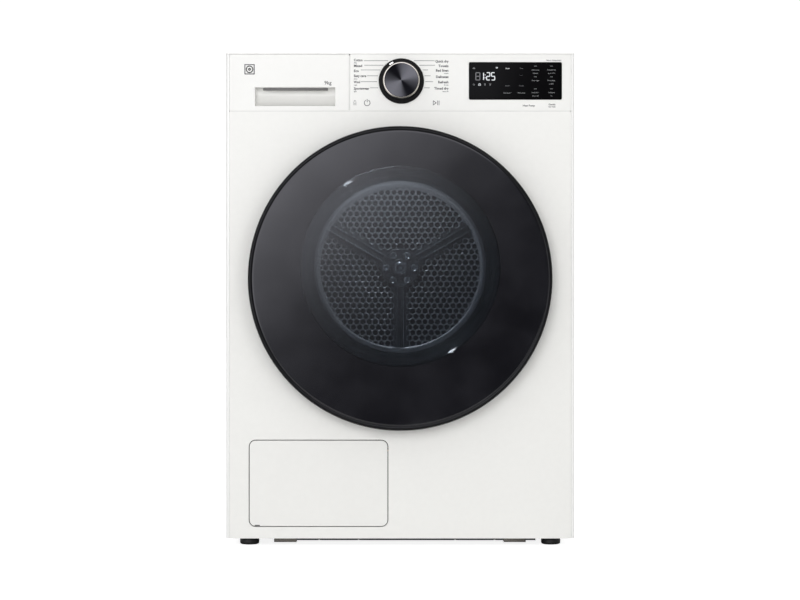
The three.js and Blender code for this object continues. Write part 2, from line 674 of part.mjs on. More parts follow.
// The fan's scroll: round casing with a rear outlet beside the wheel.
function fanHousing() {
  const outline = (inset) => pathRound([
    { a: FAN_X, b: FAN_Z, r: FAN_R - inset, side: 1 },
    { a: FAN_X - 56, b: FAN_Z + 54, r: 24 - inset, side: 1 },
  ]);
  const body = prism('y', outline(0), FAN_FRONT, FAN_REAR);
  const hollow = prism('y', outline(WALL), FAN_FRONT + WALL, FAN_REAR - WALL);
  const eye = prism('y', circle(FAN_X, FAN_Z, 46, 32), FAN_FRONT - 1, FAN_FRONT + 5);
  const outlet = block(FAN_X - 76, FAN_X - 40, FAN_REAR - 5, FAN_REAR + 1, FAN_Z + 30, FAN_Z + 70);
  return body.subtract(joined([hollow, eye, outlet]));
}

// The fan's wheel: a backplate, a ring of blades and the shaft to its motor.
function fanImpeller() {
  const [y0, y1] = [FAN_FRONT + 10, FAN_REAR - 8];
  const r = FAN_R - 20;
  const plate = turned('y', [
    [0, y1 - 2], [r, y1 - 2], [r, y1], [0, y1],
  ], FAN_X, FAN_Z, 32);
  const hub = turned('y', [[0, FAN_FRONT - 30], [4, FAN_FRONT - 30], [4, y1 - 20], [14, y1 - 4], [14, y1 - 1], [0, y1 - 1]],
    FAN_X, FAN_Z, 24);
  const blades = [];
  for (let i = 0; i < 14; i += 1) {
    const turn = (i * Math.PI) / 7;
    const [c, s] = [Math.cos(turn), Math.sin(turn)];
    const outline = rectangle(r - 16, r - 0.5, -1, 1).map(([a, b]) => [FAN_X + a * c - b * s, FAN_Z + a * s + b * c]);
    blades.push(prism('y', outline, y0, y1 - 1));
  }
  const ring = turned('y', [[r - 3, y0], [r, y0], [r, y0 + 2], [r - 3, y0 + 2]], FAN_X, FAN_Z, 32);
  return joined([plate, hub, ring, ...blades]);
}

// The fan's motor on its stand in the duct.
function fanMotor() {
  const y = FAN_FRONT - 12;
  const can = turned('y', [
    [0, y - 62], [30, y - 62], [36, y - 56], [36, y - 6], [24, y], [4.4, y], [4.4, y - 20], [0, y - 20],
  ], FAN_X, FAN_Z, 28);
  const stand = block(FAN_X - 26, FAN_X + 26, y - 52, y - 14, FLOOR + GAP, FAN_Z - 20);
  return can.add(stand);
}

const PUMP_OUTLET = FLOOR + 47;

function drainPump() {
  const [y0, y1] = [FRONT + 22, FRONT + 84];
  const body = block(PUMP_X - 34, PUMP_X + 30, y0, y1, FLOOR + GAP, 52);
  const can = prism('z', circle(PUMP_X - 4, (y0 + y1) / 2, 24, 24), 50, 78);
  const nozzle = prism('x', circle((y0 + y1) / 2, PUMP_OUTLET, 9, 16), PUMP_X + 10, PUMP_X + 42);
  return joined([body, can, nozzle]);
}

// The hose that lifts the water from the pump to the tank.
function drainHose() {
  const [side, back] = [HALF - 20, REAR - 14];
  const y = FRONT + 53;
  return bar([
    [PUMP_X + 42 + GAP, y, PUMP_OUTLET],
    [side, y, PUMP_OUTLET],
    [side, back, PUMP_OUTLET],
    [side, back, HEIGHT - 42],
    [-HALF + 110, back, HEIGHT - 42],
    [-HALF + 110, REAR - 78, HEIGHT - 42],
  ], 6, 22, 48);
}

// The tray that the tank slides on.
function tankTray() {
  const [x0, x1, y0, y1] = [-HALF + 9, TRAY_X, FRONT + 34, REAR - 70];
  const tray = block(x0, x1, y0, y1, TANK_FLOOR, TANK_FLOOR + 18);
  return tray.subtract(block(x0 + 2, x1 - 2, y0 - 1, y1 - 2, TANK_FLOOR + 2, TANK_FLOOR + 19));
}

const TUB = {
  x: [-HALF + 12, TRAY_X - 3],
  y: [FRONT + 32, REAR - 82],
  z: [TANK_FLOOR + 2 + GAP, HEIGHT - 19],
};

function tankTub() {
  const { x, y, z } = TUB;
  const body = prism('z', roundedRectangle(...x, ...y, 6, 3), ...z);
  const inside = roundedRectangle(x[0] + WALL, x[1] - WALL, y[0] + WALL, y[1] - WALL, 4, 3);
  return body.subtract(prism('z', inside, z[0] + WALL, z[1] + 1));
}

// The tank's lid, open at the back where the hose pours in and at the front where it is emptied.
function tankLid() {
  const { x, y, z } = TUB;
  const middle = (x[0] + x[1]) / 2;
  return prism('z', roundedRectangle(...x, ...y, 6, 3), z[1] + GAP, z[1] + GAP + 2.2, [
    roundedRectangle(middle - 45, middle + 45, y[1] - 60, y[1] - 16, 6, 3),
    roundedRectangle(middle - 45, middle + 45, y[0] + 12, y[0] + 44, 6, 3),
  ]);
}

// The tank's front: a shallow shell with a finger grip that hooks up behind its upper lip.
function tankFront() {
  const [x0, x1, z0, z1] = [-FACE_X, TANK_EDGE - SEAM / 2, SEAM_Z + SEAM / 2, ROOF];
  const [g0, g1, z] = [GRIP_X, GRIP_X + GRIP_SIZE[0], GRIP_Z];
  const h = GRIP_SIZE[1];
  const depth = FRONT + 31;
  const shell = block(x0, x1, FRONT, depth, z0, z1).subtract(
    block(x0 + WALL, x1 - WALL, FRONT + WALL, depth + 1, z0 + WALL, z1 - WALL),
  );
  const cup = [
    [FRONT, z - 2.5], [FRONT + 5, z - 2.5], [FRONT + 16, z + 0.5], [FRONT + 24.5, z + 8],
    [FRONT + 26.5, z + 19], [FRONT + 26.5, z + h + 10], [FRONT, z + h + 10],
  ];
  const hollow = [
    [FRONT - 1, z], [FRONT + 4, z], [FRONT + 14, z + 3], [FRONT + 22, z + 10], [FRONT + 24, z + 20],
    [FRONT + 24, z + h + 8], [FRONT + 5, z + h + 8], [FRONT + 5, z + h], [FRONT - 1, z + h],
  ];
  const web = block(x0 + 1, x1 - 1, depth - 6, depth, z0 + 30, z0 + 34);
  return joined([shell, prism('x', cup, g0 - WALL, g1 + WALL), web]).subtract(prism('x', hollow, g0, g1));
}

const displayBox = (grow) => roundedRectangle(
  DISPLAY_X - grow,
  DISPLAY_X + DISPLAY_SIZE[0] + grow,
  SEAM_Z + 20 - grow,
  SEAM_Z + 20 + DISPLAY_SIZE[1] + grow,
  2.5,
  3,
);

// The control fascia, with a recess for the display's glass and a hole for the knob's shaft.
function controlFascia() {
  const [x0, x1, z0, z1, y1] = [TANK_EDGE + SEAM / 2, FACE_X, SEAM_Z + SEAM / 2, ROOF, FRONT + 34];
  const shell = block(x0, x1, FRONT, y1, z0, z1).subtract(
    block(x0 + WALL, x1 - WALL, FRONT + WALL, y1 + 1, z0 + WALL, z1 - WALL),
  );
  const backing = prism('y', displayBox(3), FRONT + 2, FRONT + 5.5);
  const recess = prism('y', displayBox(0.3), FRONT - 1, FRONT + 3);
  const window = prism('y', displayBox(-5), FRONT - 1, FRONT + 7);
  const shaft = prism('y', circle(KNOB_X, KNOB_Z, 7, 20), FRONT - 1, FRONT + 5);
  return shell.add(backing).subtract(joined([recess, window, shaft]));
}

function displayWindow() {
  return prism('y', displayBox(0), FRONT, FRONT + 2.7);
}

// The control board: a long board with the display's module and the knob's encoder on it.
function controlBoard() {
  const y = FRONT + 22;
  const board = block(TANK_EDGE + 20, FACE_X - 8, y, y + 1.6, SEAM_Z + 16, HEIGHT - 12);
  const module = prism('y', displayBox(-6), FRONT + 5, y + 1);
  const encoder = prism('y', rectangle(KNOB_X - 11, KNOB_X + 11, KNOB_Z - 11, KNOB_Z + 11), FRONT + 10, y + 1);
  const hole = prism('y', circle(KNOB_X, KNOB_Z, 5.4, 20), FRONT + 9, FRONT + 30);
  return joined([board, module, encoder]).subtract(hole);
}

function knobSkirt() {
  const y = FRONT - 0.6;
  return turned('y', [
    [5.4, y], [KNOB_R - 0.8, y], [KNOB_R, y - 0.8], [KNOB_R, y - 2.6], [KNOB_R - 1.2, y - 3.8], [5.4, y - 3.8],
  ], KNOB_X, KNOB_Z, 40);
}

// The part of the knob that fingers turn, with its shaft.
function knobGrip() {
  const [y, front] = [FRONT - 0.6 - 3.8 - GAP, FRONT - KNOB_STAND + 3.2];
  return turned('y', [
    [0, front], [KNOB_GRIP_R, front], [KNOB_GRIP_R, y - 1], [KNOB_GRIP_R - 1, y], [5, y], [5, FRONT + 26],
    [0, FRONT + 26],
  ], KNOB_X, KNOB_Z, 40);
}

function knobTrim() {
  const [y, front] = [FRONT - KNOB_STAND + 3.2 - GAP, FRONT - KNOB_STAND];
  return turned('y', [
    [KNOB_FACE_R, y], [KNOB_GRIP_R, y], [KNOB_GRIP_R, y - 0.6], [KNOB_FACE_R + 0.7, front], [KNOB_FACE_R, front],
  ], KNOB_X, KNOB_Z, 40);
}

function knobCap() {
  const [y, front] = [FRONT - KNOB_STAND + 3.2 - GAP, FRONT - KNOB_STAND + 0.7];
  const r = KNOB_FACE_R - GAP;
  return turned('y', [
    [0, y], [r, y], [r, front + 0.2], [r - 0.4, front - 0.1], [0, front],
  ], KNOB_X, KNOB_Z, 40);
}

// The door's black outer ring. Its back tapers off so that fingers reach behind the edge.
function doorRing() {
  const [r, y, f] = [DOOR_R, DOOR_FRONT, FRONT];
  const ring = turned('y', [
    [r - 7, y + 1.3], [r - 4, y + 0.4], [r - 1.5, y + 2], [r, y + 6], [r, f - 27.5], [r - 26, f - 4.5],
    [r - 38, f - 4.5], [r - 38, f - 7.5], [r - 28, f - 7.5], [r - 4.5, f - 28.5], [r - 4.5, y + 7],
    [r - 12, y + 7], [r - 12, y + 4.4], [r - 7, y + 4.4],
  ], 0, DOOR_Z);
  return ring.subtract(hingeNotch());
}

// The room that the fixed hinge arms need inside the door.
function hingeNotch() {
  return block(THROAT_R + 14.5, DOOR_R + 10, HINGE_Y + 0.5, FRONT, DOOR_Z - 50, DOOR_Z + 50);
}

// The door's tinted outer disc, very slightly domed.
function doorScreen() {
  const [r, y] = [DOOR_R - 7.3, DOOR_FRONT];
  return turned('y', [
    [0, y], [0.3 * r, y + 0.1], [0.6 * r, y + 0.4], [0.85 * r, y + 0.85], [r - 0.5, y + 1.3], [r, y + 1.8],
    [r, y + 4.1], [0, y + 4.1],
  ], 0, DOOR_Z);
}

// The door's inner plate with the tunnel that leads from the disc to the glass.
function doorInner() {
  const [y0, y1] = [FRONT - 7.3, FRONT - 4.3];
  const plate = prism('y', circle(0, DOOR_Z, PLATE_R, ROUND), y0, y1, [circle(0, AXIS_Z, BOWL_R + 6, ROUND)]);
  const tunnel = turned('y', [
    [BOWL_R + 6, DOOR_FRONT + 4.6], [BOWL_R + 8.5, DOOR_FRONT + 4.6], [BOWL_R + 8.5, y1], [BOWL_R + 6, y1],
  ], 0, AXIS_Z);
  return plate.subtract(hingeNotch()).add(tunnel);
}

// The deep glass bowl that keeps the laundry off the door.
function doorBowl() {
  const [r, f, deep] = [BOWL_R, FRONT, FRONT + BOWL_DEPTH];
  return turned('y', [
    [0, deep - 4], [r - 26, deep - 4], [r - 20.5, deep - 8.5], [r - 4.5, f - 4], [r + 12, f - 4],
    [r + 12, f - 1.2], [r + 0.5, f - 1.2], [r - 15.5, deep - 7.5], [r - 23.5, deep], [0, deep],
  ], 0, AXIS_Z);
}

function doorSeal() {
  const [r, y0, y1] = [THROAT_R, FRONT - 4, FRONT - GAP];
  return turned('y', [
    [r + 6, y0], [r + 14, y0], [r + 14, y1 - 1], [r + 12.5, y1], [r + 7.5, y1], [r + 6, y1 - 1],
  ], 0, AXIS_Z);
}

// The fixed half of the hinge: two arms from the front panel, with the pin between them.
function hingeBracket() {
  const [x, y, f] = [HINGE_X, HINGE_Y, FRONT];
  const left = THROAT_R + 18;
  const base = block(left, x - 8, f - GAP - 2, f - GAP, DOOR_Z - 38, DOOR_Z + 38);
  const arm = [
    [left + 3, f - 1], [left + 11, f - 1], [left + 11, f - 17], [x, y + 4], [x, y - 4], [left + 9, f - 24],
    [left + 3, f - 20],
  ];
  const arms = [-26, 18].map((z) => (
    prism('z', arm, DOOR_Z + z, DOOR_Z + z + 8).add(prism('z', circle(x, y, 5, 20), DOOR_Z + z, DOOR_Z + z + 8))
  ));
  return joined([base, ...arms, prism('z', circle(x, y, 3, 16), DOOR_Z - 28, DOOR_Z + 28)]);
}

// The moving half of the hinge: a leaf with a knuckle on the pin and legs down to the inner plate.
function hingeLeaf() {
  const [x, y, f] = [HINGE_X, HINGE_Y, FRONT];
  const leaf = block(THROAT_R + 10, x + 3, f - 36, f - 33.6, DOOR_Z - LEAF_HALF, DOOR_Z + LEAF_HALF);
  const knuckle = prism('z', circle(x, y, 6, 24), DOOR_Z - 17.5, DOOR_Z + 17.5);
  const web = block(x - 4, x + 4, f - 36, y, DOOR_Z - 17.5, DOOR_Z + 17.5);
  const legs = [-1, 1].map((side) => {
    const z = DOOR_Z + side * (LEAF_HALF - 10);
    return block(THROAT_R + 4, THROAT_R + 28, f - 36, f - 7.6, z - 10, z + 10);
  });
  const bore = prism('z', circle(x, y, 3.3, 20), DOOR_Z - 20, DOOR_Z + 20);
  return joined([leaf, knuckle, web, ...legs]).subtract(bore);
}

// The hook on the door's inner plate that enters the catch.
function doorHook() {
  const [x, f] = [HOOK_X, FRONT];
  const stem = prism('z', [
    [x - 3, f - 4], [x + 3, f - 4], [x + 3, f + 24], [x, f + 26], [x - 4.5, f + 20], [x - 4.5, f + 16], [x - 3, f + 14],
  ], DOOR_Z - 12, DOOR_Z + 12);
  return stem;
}

// The gland where the supply lead enters, with its nut inside the rear panel.
function powerInlet() {
  const [x, z] = glandPlace();
  const y = REAR;
  return turned('y', [
    [5, y - 14], [15, y - 14], [15, y - SHEET - GAP], [10.5, y - SHEET - GAP], [10.5, y + GAP], [17, y + GAP],
    [17, y + 6], [12, y + 8], [11, y + 17], [5, y + 17],
  ], x, z, 18);
}

const WHITE = 0xf2f2ee;
const BLACK = 0x1b1c20;
const STEEL = 0xb5b8bb;
const GREY = 0x6d7074;
const CLEAR = 0x9fb4c0;

const footNames = ['foot_front_left', 'foot_front_right', 'foot_rear_left', 'foot_rear_right'];

const dryer = new THREE.Group();
dryer.name = 'dryer';
dryer.add(
  piece('base_pan', basePan(), GREY),
  piece('base_beam', baseBeam(), BLACK),
  piece('side_panel_left', sidePanel(-1), WHITE),
  piece('side_panel_right', sidePanel(1), WHITE),
  piece('top_panel', topPanel(), WHITE),
  piece('rear_panel', rearPanel(), STEEL),
  piece('rear_duct_cover', rearDuctCover(), STEEL),
  piece('front_panel', frontPanel(), WHITE),
  piece('front_bulkhead', frontBulkhead(), STEEL),
  piece('throat_ring', throatRing(), GREY),
  piece('control_fascia', controlFascia(), WHITE),
  piece('display_window', displayWindow(), BLACK),
  piece('control_board', controlBoard(), 0x2f6b45),
  piece('tank_tray', tankTray(), GREY),
  piece('hinge_bracket', hingeBracket(), STEEL),
  piece('door_catch', doorCatch(), GREY),
  piece('evaporator', exchanger(...EVAPORATOR_Y), STEEL),
  piece('condenser', exchanger(...CONDENSER_Y), STEEL),
  piece('exchanger_cover', exchangerCover(), GREY),
  piece('fan_housing', fanHousing(), GREY),
  piece('fan_motor', fanMotor(), STEEL),
  piece('compressor', compressor(), BLACK),
  piece('refrigerant_pipe', refrigerantPipe(), 0xb87349),
  piece('drain_pump', drainPump(), BLACK),
  piece('drain_hose', drainHose(), GREY),
  piece('drum_motor', drumMotor(), STEEL),
  piece('motor_mount', motorMount(), STEEL),
  piece('drum_belt', drumBelt(), BLACK),
  piece('power_inlet', powerInlet(), BLACK),
  piece('door_ring', doorRing(), BLACK),
  piece('door_screen', doorScreen(), BLACK),
  piece('door_inner', doorInner(), GREY),
  piece('door_bowl', doorBowl(), CLEAR),
  piece('door_seal', doorSeal(), GREY),
  piece('door_hinge_leaf', hingeLeaf(), STEEL),
  piece('door_hook', doorHook(), GREY),
  piece('drum_shell', drumShell(), STEEL),
  piece('drum_back', drumBack(), STEEL),
  piece('drum_lifter_1', lifter(90), GREY),
  piece('drum_lifter_2', lifter(210), GREY),
  piece('drum_lifter_3', lifter(330), GREY),
  piece('drum_roller_left', roller(rollerPlaces()[0]), BLACK),
  piece('drum_roller_right', roller(rollerPlaces()[1]), BLACK),
  piece('motor_pulley', motorPulley(), STEEL),
  piece('idler_arm', idlerArm(), STEEL),
  piece('idler_pulley', idlerPulley(), BLACK),
  piece('fan_impeller', fanImpeller(), GREY),
  piece('knob_skirt', knobSkirt(), GREY),
  piece('knob_grip', knobGrip(), GREY),
  piece('knob_trim', knobTrim(), 0xc9c2b4),
  piece('knob_cap', knobCap(), GREY),
  piece('tank_front', tankFront(), WHITE),
  piece('tank_tub', tankTub(), CLEAR),
  piece('tank_lid', tankLid(), GREY),
  piece('lint_filter', lintFilter(), GREY),
  piece('maintenance_hatch', hatch(), WHITE),
);
const legs = footPlaces().map(([x, y], i) => piece(footNames[i], foot(x, y), BLACK));
dryer.add(...legs);

export default dryer;
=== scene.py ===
"""A front-loading clothes dryer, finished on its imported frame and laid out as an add-on."""

import math

import bmesh
import bpy
from mathutils import Matrix, Vector


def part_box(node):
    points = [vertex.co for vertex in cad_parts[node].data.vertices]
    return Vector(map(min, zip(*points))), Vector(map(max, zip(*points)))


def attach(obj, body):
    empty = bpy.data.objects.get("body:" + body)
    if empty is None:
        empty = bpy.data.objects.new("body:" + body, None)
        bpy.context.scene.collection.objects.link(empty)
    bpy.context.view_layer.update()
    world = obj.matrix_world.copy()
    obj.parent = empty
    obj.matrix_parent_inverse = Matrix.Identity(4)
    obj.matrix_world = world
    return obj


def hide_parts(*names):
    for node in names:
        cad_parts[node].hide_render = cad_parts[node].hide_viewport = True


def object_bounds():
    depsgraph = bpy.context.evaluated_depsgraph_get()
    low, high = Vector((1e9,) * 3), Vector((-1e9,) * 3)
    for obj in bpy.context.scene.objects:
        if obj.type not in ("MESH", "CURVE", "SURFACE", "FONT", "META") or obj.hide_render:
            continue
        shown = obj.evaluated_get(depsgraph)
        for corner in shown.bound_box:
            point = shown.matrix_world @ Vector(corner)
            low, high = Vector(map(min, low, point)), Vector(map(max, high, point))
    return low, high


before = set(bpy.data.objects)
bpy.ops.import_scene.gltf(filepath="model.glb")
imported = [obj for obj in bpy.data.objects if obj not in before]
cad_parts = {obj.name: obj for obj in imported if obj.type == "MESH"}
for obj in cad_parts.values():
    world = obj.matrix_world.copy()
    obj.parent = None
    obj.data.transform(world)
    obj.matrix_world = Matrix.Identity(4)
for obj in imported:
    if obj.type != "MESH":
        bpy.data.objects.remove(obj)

bl_info = {
    "name": "Clothes dryer",
    "version": (1, 0, 0),
    "blender": (4, 5, 0),
    "location": "View3D > Sidebar > Dryer",
    "description": "Finishes a clothes dryer on its packed frame",
    "category": "Object",
}

CAD_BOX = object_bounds()
MM = 0.001


# ---------------------------------------------------------------- places from the frame

def span(node):
    """Lowest and highest corner of a CAD node."""
    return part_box(node)


PANEL_LOW, PANEL_HIGH = span("front_panel")
FRONT_Y = PANEL_LOW.y
REAR_Y = span("side_panel_left")[1].y
HALF = span("side_panel_right")[1].x
TOP_Z = span("top_panel")[1].z
DRUM_LOW, DRUM_HIGH = span("drum_shell")
DRUM_R = (DRUM_HIGH.z - DRUM_LOW.z) / 2
AXIS = Vector((0, 0, (DRUM_HIGH.z + DRUM_LOW.z) / 2))
RING_LOW, RING_HIGH = span("door_ring")
DOOR_R = (RING_HIGH.z - RING_LOW.z) / 2
DOOR_Z = (RING_HIGH.z + RING_LOW.z) / 2
DOOR_Y = CAD_BOX[0].y
BOWL_LOW, BOWL_HIGH = span("door_bowl")
BOWL_R = (BOWL_HIGH.z - BOWL_LOW.z) / 2 - 12 * MM
THROAT_R = BOWL_R + 14 * MM
SKIRT_LOW, SKIRT_HIGH = span("knob_skirt")
KNOB_R = (SKIRT_HIGH.x - SKIRT_LOW.x) / 2
KNOB = Vector(((SKIRT_LOW.x + SKIRT_HIGH.x) / 2, 0, (SKIRT_LOW.z + SKIRT_HIGH.z) / 2))
GLASS_LOW, GLASS_HIGH = span("display_window")
TANK_LOW, TANK_HIGH = span("tank_front")
HATCH_LOW = span("maintenance_hatch")[0]
BACK_Y = DRUM_HIGH.y - 12 * MM

ROW = 0.866  # distance of rows in a six-sided pattern, as a share of its pitch
EDGE_ANGLE = math.radians(38)  # edges that turn more than this are rounded
PAD_SPREAD = 1.015  # a foot's rubber over its CAD size
FIELD_R = 0.585 * DRUM_R  # edge of the drum back's holes
HOLE_SHARE = 0.41  # a hole's radius as a share of the pitch
ARM_ANGLES = (30, 150, 270)  # the drum back's arms, in degrees
ARM_CLEAR = 17 * MM  # from an arm's middle to the nearest hole's middle
HUB_CLEAR = 43 * MM  # from the axis to the nearest hole's middle
RAIL_OFF = 6 * MM  # from an arm's middle to each of its rails
BOSS_R = 27.5 * MM  # from the axis to a hub boss


# ---------------------------------------------------------------- node helpers

class Nodes:
    """Builds a node tree with short calls."""

    def __init__(self, tree):
        self.tree = tree

    def add(self, kind, **settings):
        node = self.tree.nodes.new(kind)
        for key, value in settings.items():
            setattr(node, key, value)
        return node

    def link(self, source, target):
        self.tree.links.new(source, target)
        return target

    def put(self, node, **inputs):
        """Sets inputs by name: a socket is linked and anything else is a value."""
        for key, value in inputs.items():
            socket = node.inputs[key.replace("_", " ")]
            if isinstance(value, bpy.types.NodeSocket):
                self.link(value, socket)
            else:
                socket.default_value = value
        return node

    def maths(self, operation, a, b=None, c=None, clamp=False):
        node = self.add("ShaderNodeMath", operation=operation, use_clamp=clamp)
        for i, value in enumerate((a, b, c)):
            if value is None:
                continue
            if isinstance(value, bpy.types.NodeSocket):
                self.link(value, node.inputs[i])
            else:
                node.inputs[i].default_value = value
        return node.outputs[0]

    def ramp(self, value, stops, smooth=True):
        node = self.add("ShaderNodeValToRGB")
        node.color_ramp.interpolation = "EASE" if smooth else "LINEAR"
        elements = node.color_ramp.elements
        while len(elements) < len(stops):
            elements.new(0.5)
        for element, (place, colour) in zip(elements, stops):
            element.position = place
            element.color = colour if len(colour) == 4 else (*colour, 1)
        self.link(value, node.inputs[0])
        return node.outputs[0]

    def mix(self, factor, a, b):
        node = self.add("ShaderNodeMix", data_type="RGBA")
        for i, value in ((0, factor), (6, a), (7, b)):
            if isinstance(value, bpy.types.NodeSocket):
                self.link(value, node.inputs[i])
            elif i and len(value) == 3:
                node.inputs[i].default_value = (*value, 1)
            else:
                node.inputs[i].default_value = value
        return node.outputs[2]


def grey(value):
    return (value, value, value, 1)


def shade(colour, factor):
    return tuple(min(c * factor, 1) for c in colour[:3])


def finish_material(name, colour, roughness=0.4, metallic=0.0, speckle=0.03, scale=60.0, bump=0.02,
                    grain=None, spread=0.08, coat=0.0, specular=0.5, stretch=(1, 1, 1)):
    """A surface whose tone, gloss and fine relief all vary a little, as a moulded or painted one does."""
    mat = bpy.data.materials.new(name)
    mat.use_nodes = True
    n = Nodes(mat.node_tree)
    shader = mat.node_tree.nodes["Principled BSDF"]
    shader.inputs["Metallic"].default_value = metallic
    shader.inputs["Coat Weight"].default_value = coat
    shader.inputs["Coat Roughness"].default_value = 0.06
    shader.inputs["Specular IOR Level"].default_value = specular
    place = n.add("ShaderNodeTexCoord").outputs["Object"]
    mapping = n.add("ShaderNodeMapping")
    n.put(mapping, Vector=place, Scale=stretch)
    broad = n.put(n.add("ShaderNodeTexNoise"), Vector=mapping.outputs[0], Scale=scale * 0.12, Detail=3.0)
    fine = n.put(n.add("ShaderNodeTexNoise"), Vector=mapping.outputs[0], Scale=scale, Detail=4.0)
    tone = n.ramp(broad.outputs["Fac"],
                  [(0.3, shade(colour, 1 - speckle)), (0.7, shade(colour, 1 + speckle))])
    n.link(tone, shader.inputs["Base Color"])
    low, high = max(roughness - spread, 0.02), min(roughness + spread, 1)
    gloss = n.ramp(fine.outputs["Fac"], [(0.3, grey(low)), (0.7, grey(high))])
    n.link(gloss, shader.inputs["Roughness"])
    if bump:
        source = fine.outputs["Fac"]
        if grain:
            cells = n.put(n.add("ShaderNodeTexVoronoi"), Vector=mapping.outputs[0], Scale=grain)
            source = cells.outputs["Distance"]
        relief = n.put(n.add("ShaderNodeBump"), Height=source, Strength=bump, Distance=0.001)
        n.link(relief.outputs[0], shader.inputs["Normal"])
    return mat


def brushed_material(name, colour, roughness, axis, bump=0.05, metallic=1.0):
    """Metal brushed along an axis: long streaks in tone, gloss and relief."""
    stretch = {"X": (4, 260, 260), "Y": (260, 4, 260), "Z": (260, 260, 4)}[axis]
    return finish_material(name, colour, roughness, metallic, 0.09, 1.0, bump, stretch=stretch, spread=0.1)


def spun_material(name, dark, light, centre, roughness=0.3, metallic=1.0):
    """Metal spun about an axis along Y: fine rings, and two pairs of fanned bright sectors painted in as the
    metal's sheen.
    """
    mat = bpy.data.materials.new(name)
    mat.use_nodes = True
    n = Nodes(mat.node_tree)
    shader = mat.node_tree.nodes["Principled BSDF"]
    shader.inputs["Metallic"].default_value = metallic
    shader.inputs["Anisotropic"].default_value = 0.75
    place = n.add("ShaderNodeTexCoord").outputs["Object"]
    mapping = n.put(n.add("ShaderNodeMapping"), Vector=place, Location=(-centre.x, 0, -centre.z))
    parts = n.put(n.add("ShaderNodeSeparateXYZ"), Vector=mapping.outputs[0])
    x, z = parts.outputs["X"], parts.outputs["Z"]
    turn = n.maths("ARCTAN2", z, x)
    # Painted highlight: brightness by angle round the centre, two pairs of fanned sectors with a ripple,
    # standing in for the sheen on spun metal.
    painted_sheen_fan = n.maths("COSINE", n.maths("MULTIPLY", n.maths("SUBTRACT", turn, math.radians(42)), 2.0))
    ripple = n.maths("COSINE", n.maths("MULTIPLY", n.maths("ADD", turn, 0.5), 6.0))
    painted_sheen = n.maths("MULTIPLY_ADD", ripple, 0.16, painted_sheen_fan)
    sectors = n.maths("MULTIPLY_ADD", painted_sheen, 0.42, 0.5, clamp=True)
    radius = n.maths("SQRT", n.maths("ADD", n.maths("MULTIPLY", x, x), n.maths("MULTIPLY", z, z)))
    rings = n.put(n.add("ShaderNodeTexNoise", noise_dimensions="1D"), W=radius, Scale=4200.0, Detail=2.0)
    tone = n.ramp(sectors, [(0.05, dark), (0.95, light)])
    n.link(n.mix(n.maths("MULTIPLY", rings.outputs["Fac"], 0.25), tone, shade(dark, 0.8)),
           shader.inputs["Base Color"])
    n.link(n.ramp(rings.outputs["Fac"], [(0.3, grey(roughness - 0.07)), (0.7, grey(roughness + 0.07))]),
           shader.inputs["Roughness"])
    relief = n.put(n.add("ShaderNodeBump"), Height=rings.outputs["Fac"], Strength=0.06, Distance=0.0003)
    n.link(relief.outputs[0], shader.inputs["Normal"])
    tangent = n.add("ShaderNodeTangent", direction_type="RADIAL", axis="Y")
    n.link(tangent.outputs[0], shader.inputs["Tangent"])
    return mat


def light_material(name, colour, strength):
    """A lit legend: a faint cell pattern in its own light."""
    mat = bpy.data.materials.new(name)
    mat.use_nodes = True
    n = Nodes(mat.node_tree)
    shader = mat.node_tree.nodes["Principled BSDF"]
    place = n.add("ShaderNodeTexCoord").outputs["Object"]
    noise = n.put(n.add("ShaderNodeTexNoise"), Vector=place, Scale=900.0, Detail=1.0)
    tone = n.ramp(noise.outputs["Fac"], [(0.2, shade(colour, 0.86)), (0.8, colour)])
    n.link(tone, shader.inputs["Base Color"])
    n.link(tone, shader.inputs["Emission Color"])
    shader.inputs["Emission Strength"].default_value = strength
    shader.inputs["Roughness"].default_value = 0.4
    return mat


def screen_material(name, settings):
    """The door's disc: black behind, and tinted but clear inside the round window."""
    mat = bpy.data.materials.new(name)
    mat.use_nodes = True
    n = Nodes(mat.node_tree)
    solid = mat.node_tree.nodes["Principled BSDF"]
    out = mat.node_tree.nodes["Material Output"]
    place = n.add("ShaderNodeTexCoord").outputs["Object"]
    noise = n.put(n.add("ShaderNodeTexNoise"), Vector=place, Scale=14.0, Detail=2.0)
    n.link(n.ramp(noise.outputs["Fac"], [(0.3, (0.006, 0.006, 0.008)), (0.7, (0.012, 0.012, 0.015))]),
           solid.inputs["Base Color"])
    n.link(n.ramp(noise.outputs["Fac"], [(0.3, grey(0.03)), (0.7, grey(0.06))]), solid.inputs["Roughness"])
    mapping = n.put(n.add("ShaderNodeMapping"), Vector=place, Location=(0, 0, -AXIS.z))
    parts = n.put(n.add("ShaderNodeSeparateXYZ"), Vector=mapping.outputs[0])
    x, z = parts.outputs["X"], parts.outputs["Z"]
    radius = n.maths("SQRT", n.maths("ADD", n.maths("MULTIPLY", x, x), n.maths("MULTIPLY", z, z)))
    window = n.ramp(n.maths("MULTIPLY", radius, 1 / BOWL_R),
                    [(0.985, grey(1)), (1.0, grey(0))], smooth=False)
    clear = n.add("ShaderNodeBsdfTransparent")
    clear.inputs["Color"].default_value = (*settings.screen_tint, 1)
    gloss = n.add("ShaderNodeBsdfGlossy")
    gloss.inputs["Color"].default_value = (1, 1, 1, 1)
    gloss.inputs["Roughness"].default_value = 0.04
    facing = n.add("ShaderNodeFresnel")
    facing.inputs["IOR"].default_value = 1.5
    pane = n.add("ShaderNodeMixShader")
    n.link(facing.outputs[0], pane.inputs[0])
    n.link(clear.outputs[0], pane.inputs[1])
    n.link(gloss.outputs[0], pane.inputs[2])
    whole = n.add("ShaderNodeMixShader")
    n.link(window, whole.inputs[0])
    n.link(solid.outputs[0], whole.inputs[1])
    n.link(pane.outputs[0], whole.inputs[2])
    n.link(whole.outputs[0], out.inputs["Surface"])
    return mat


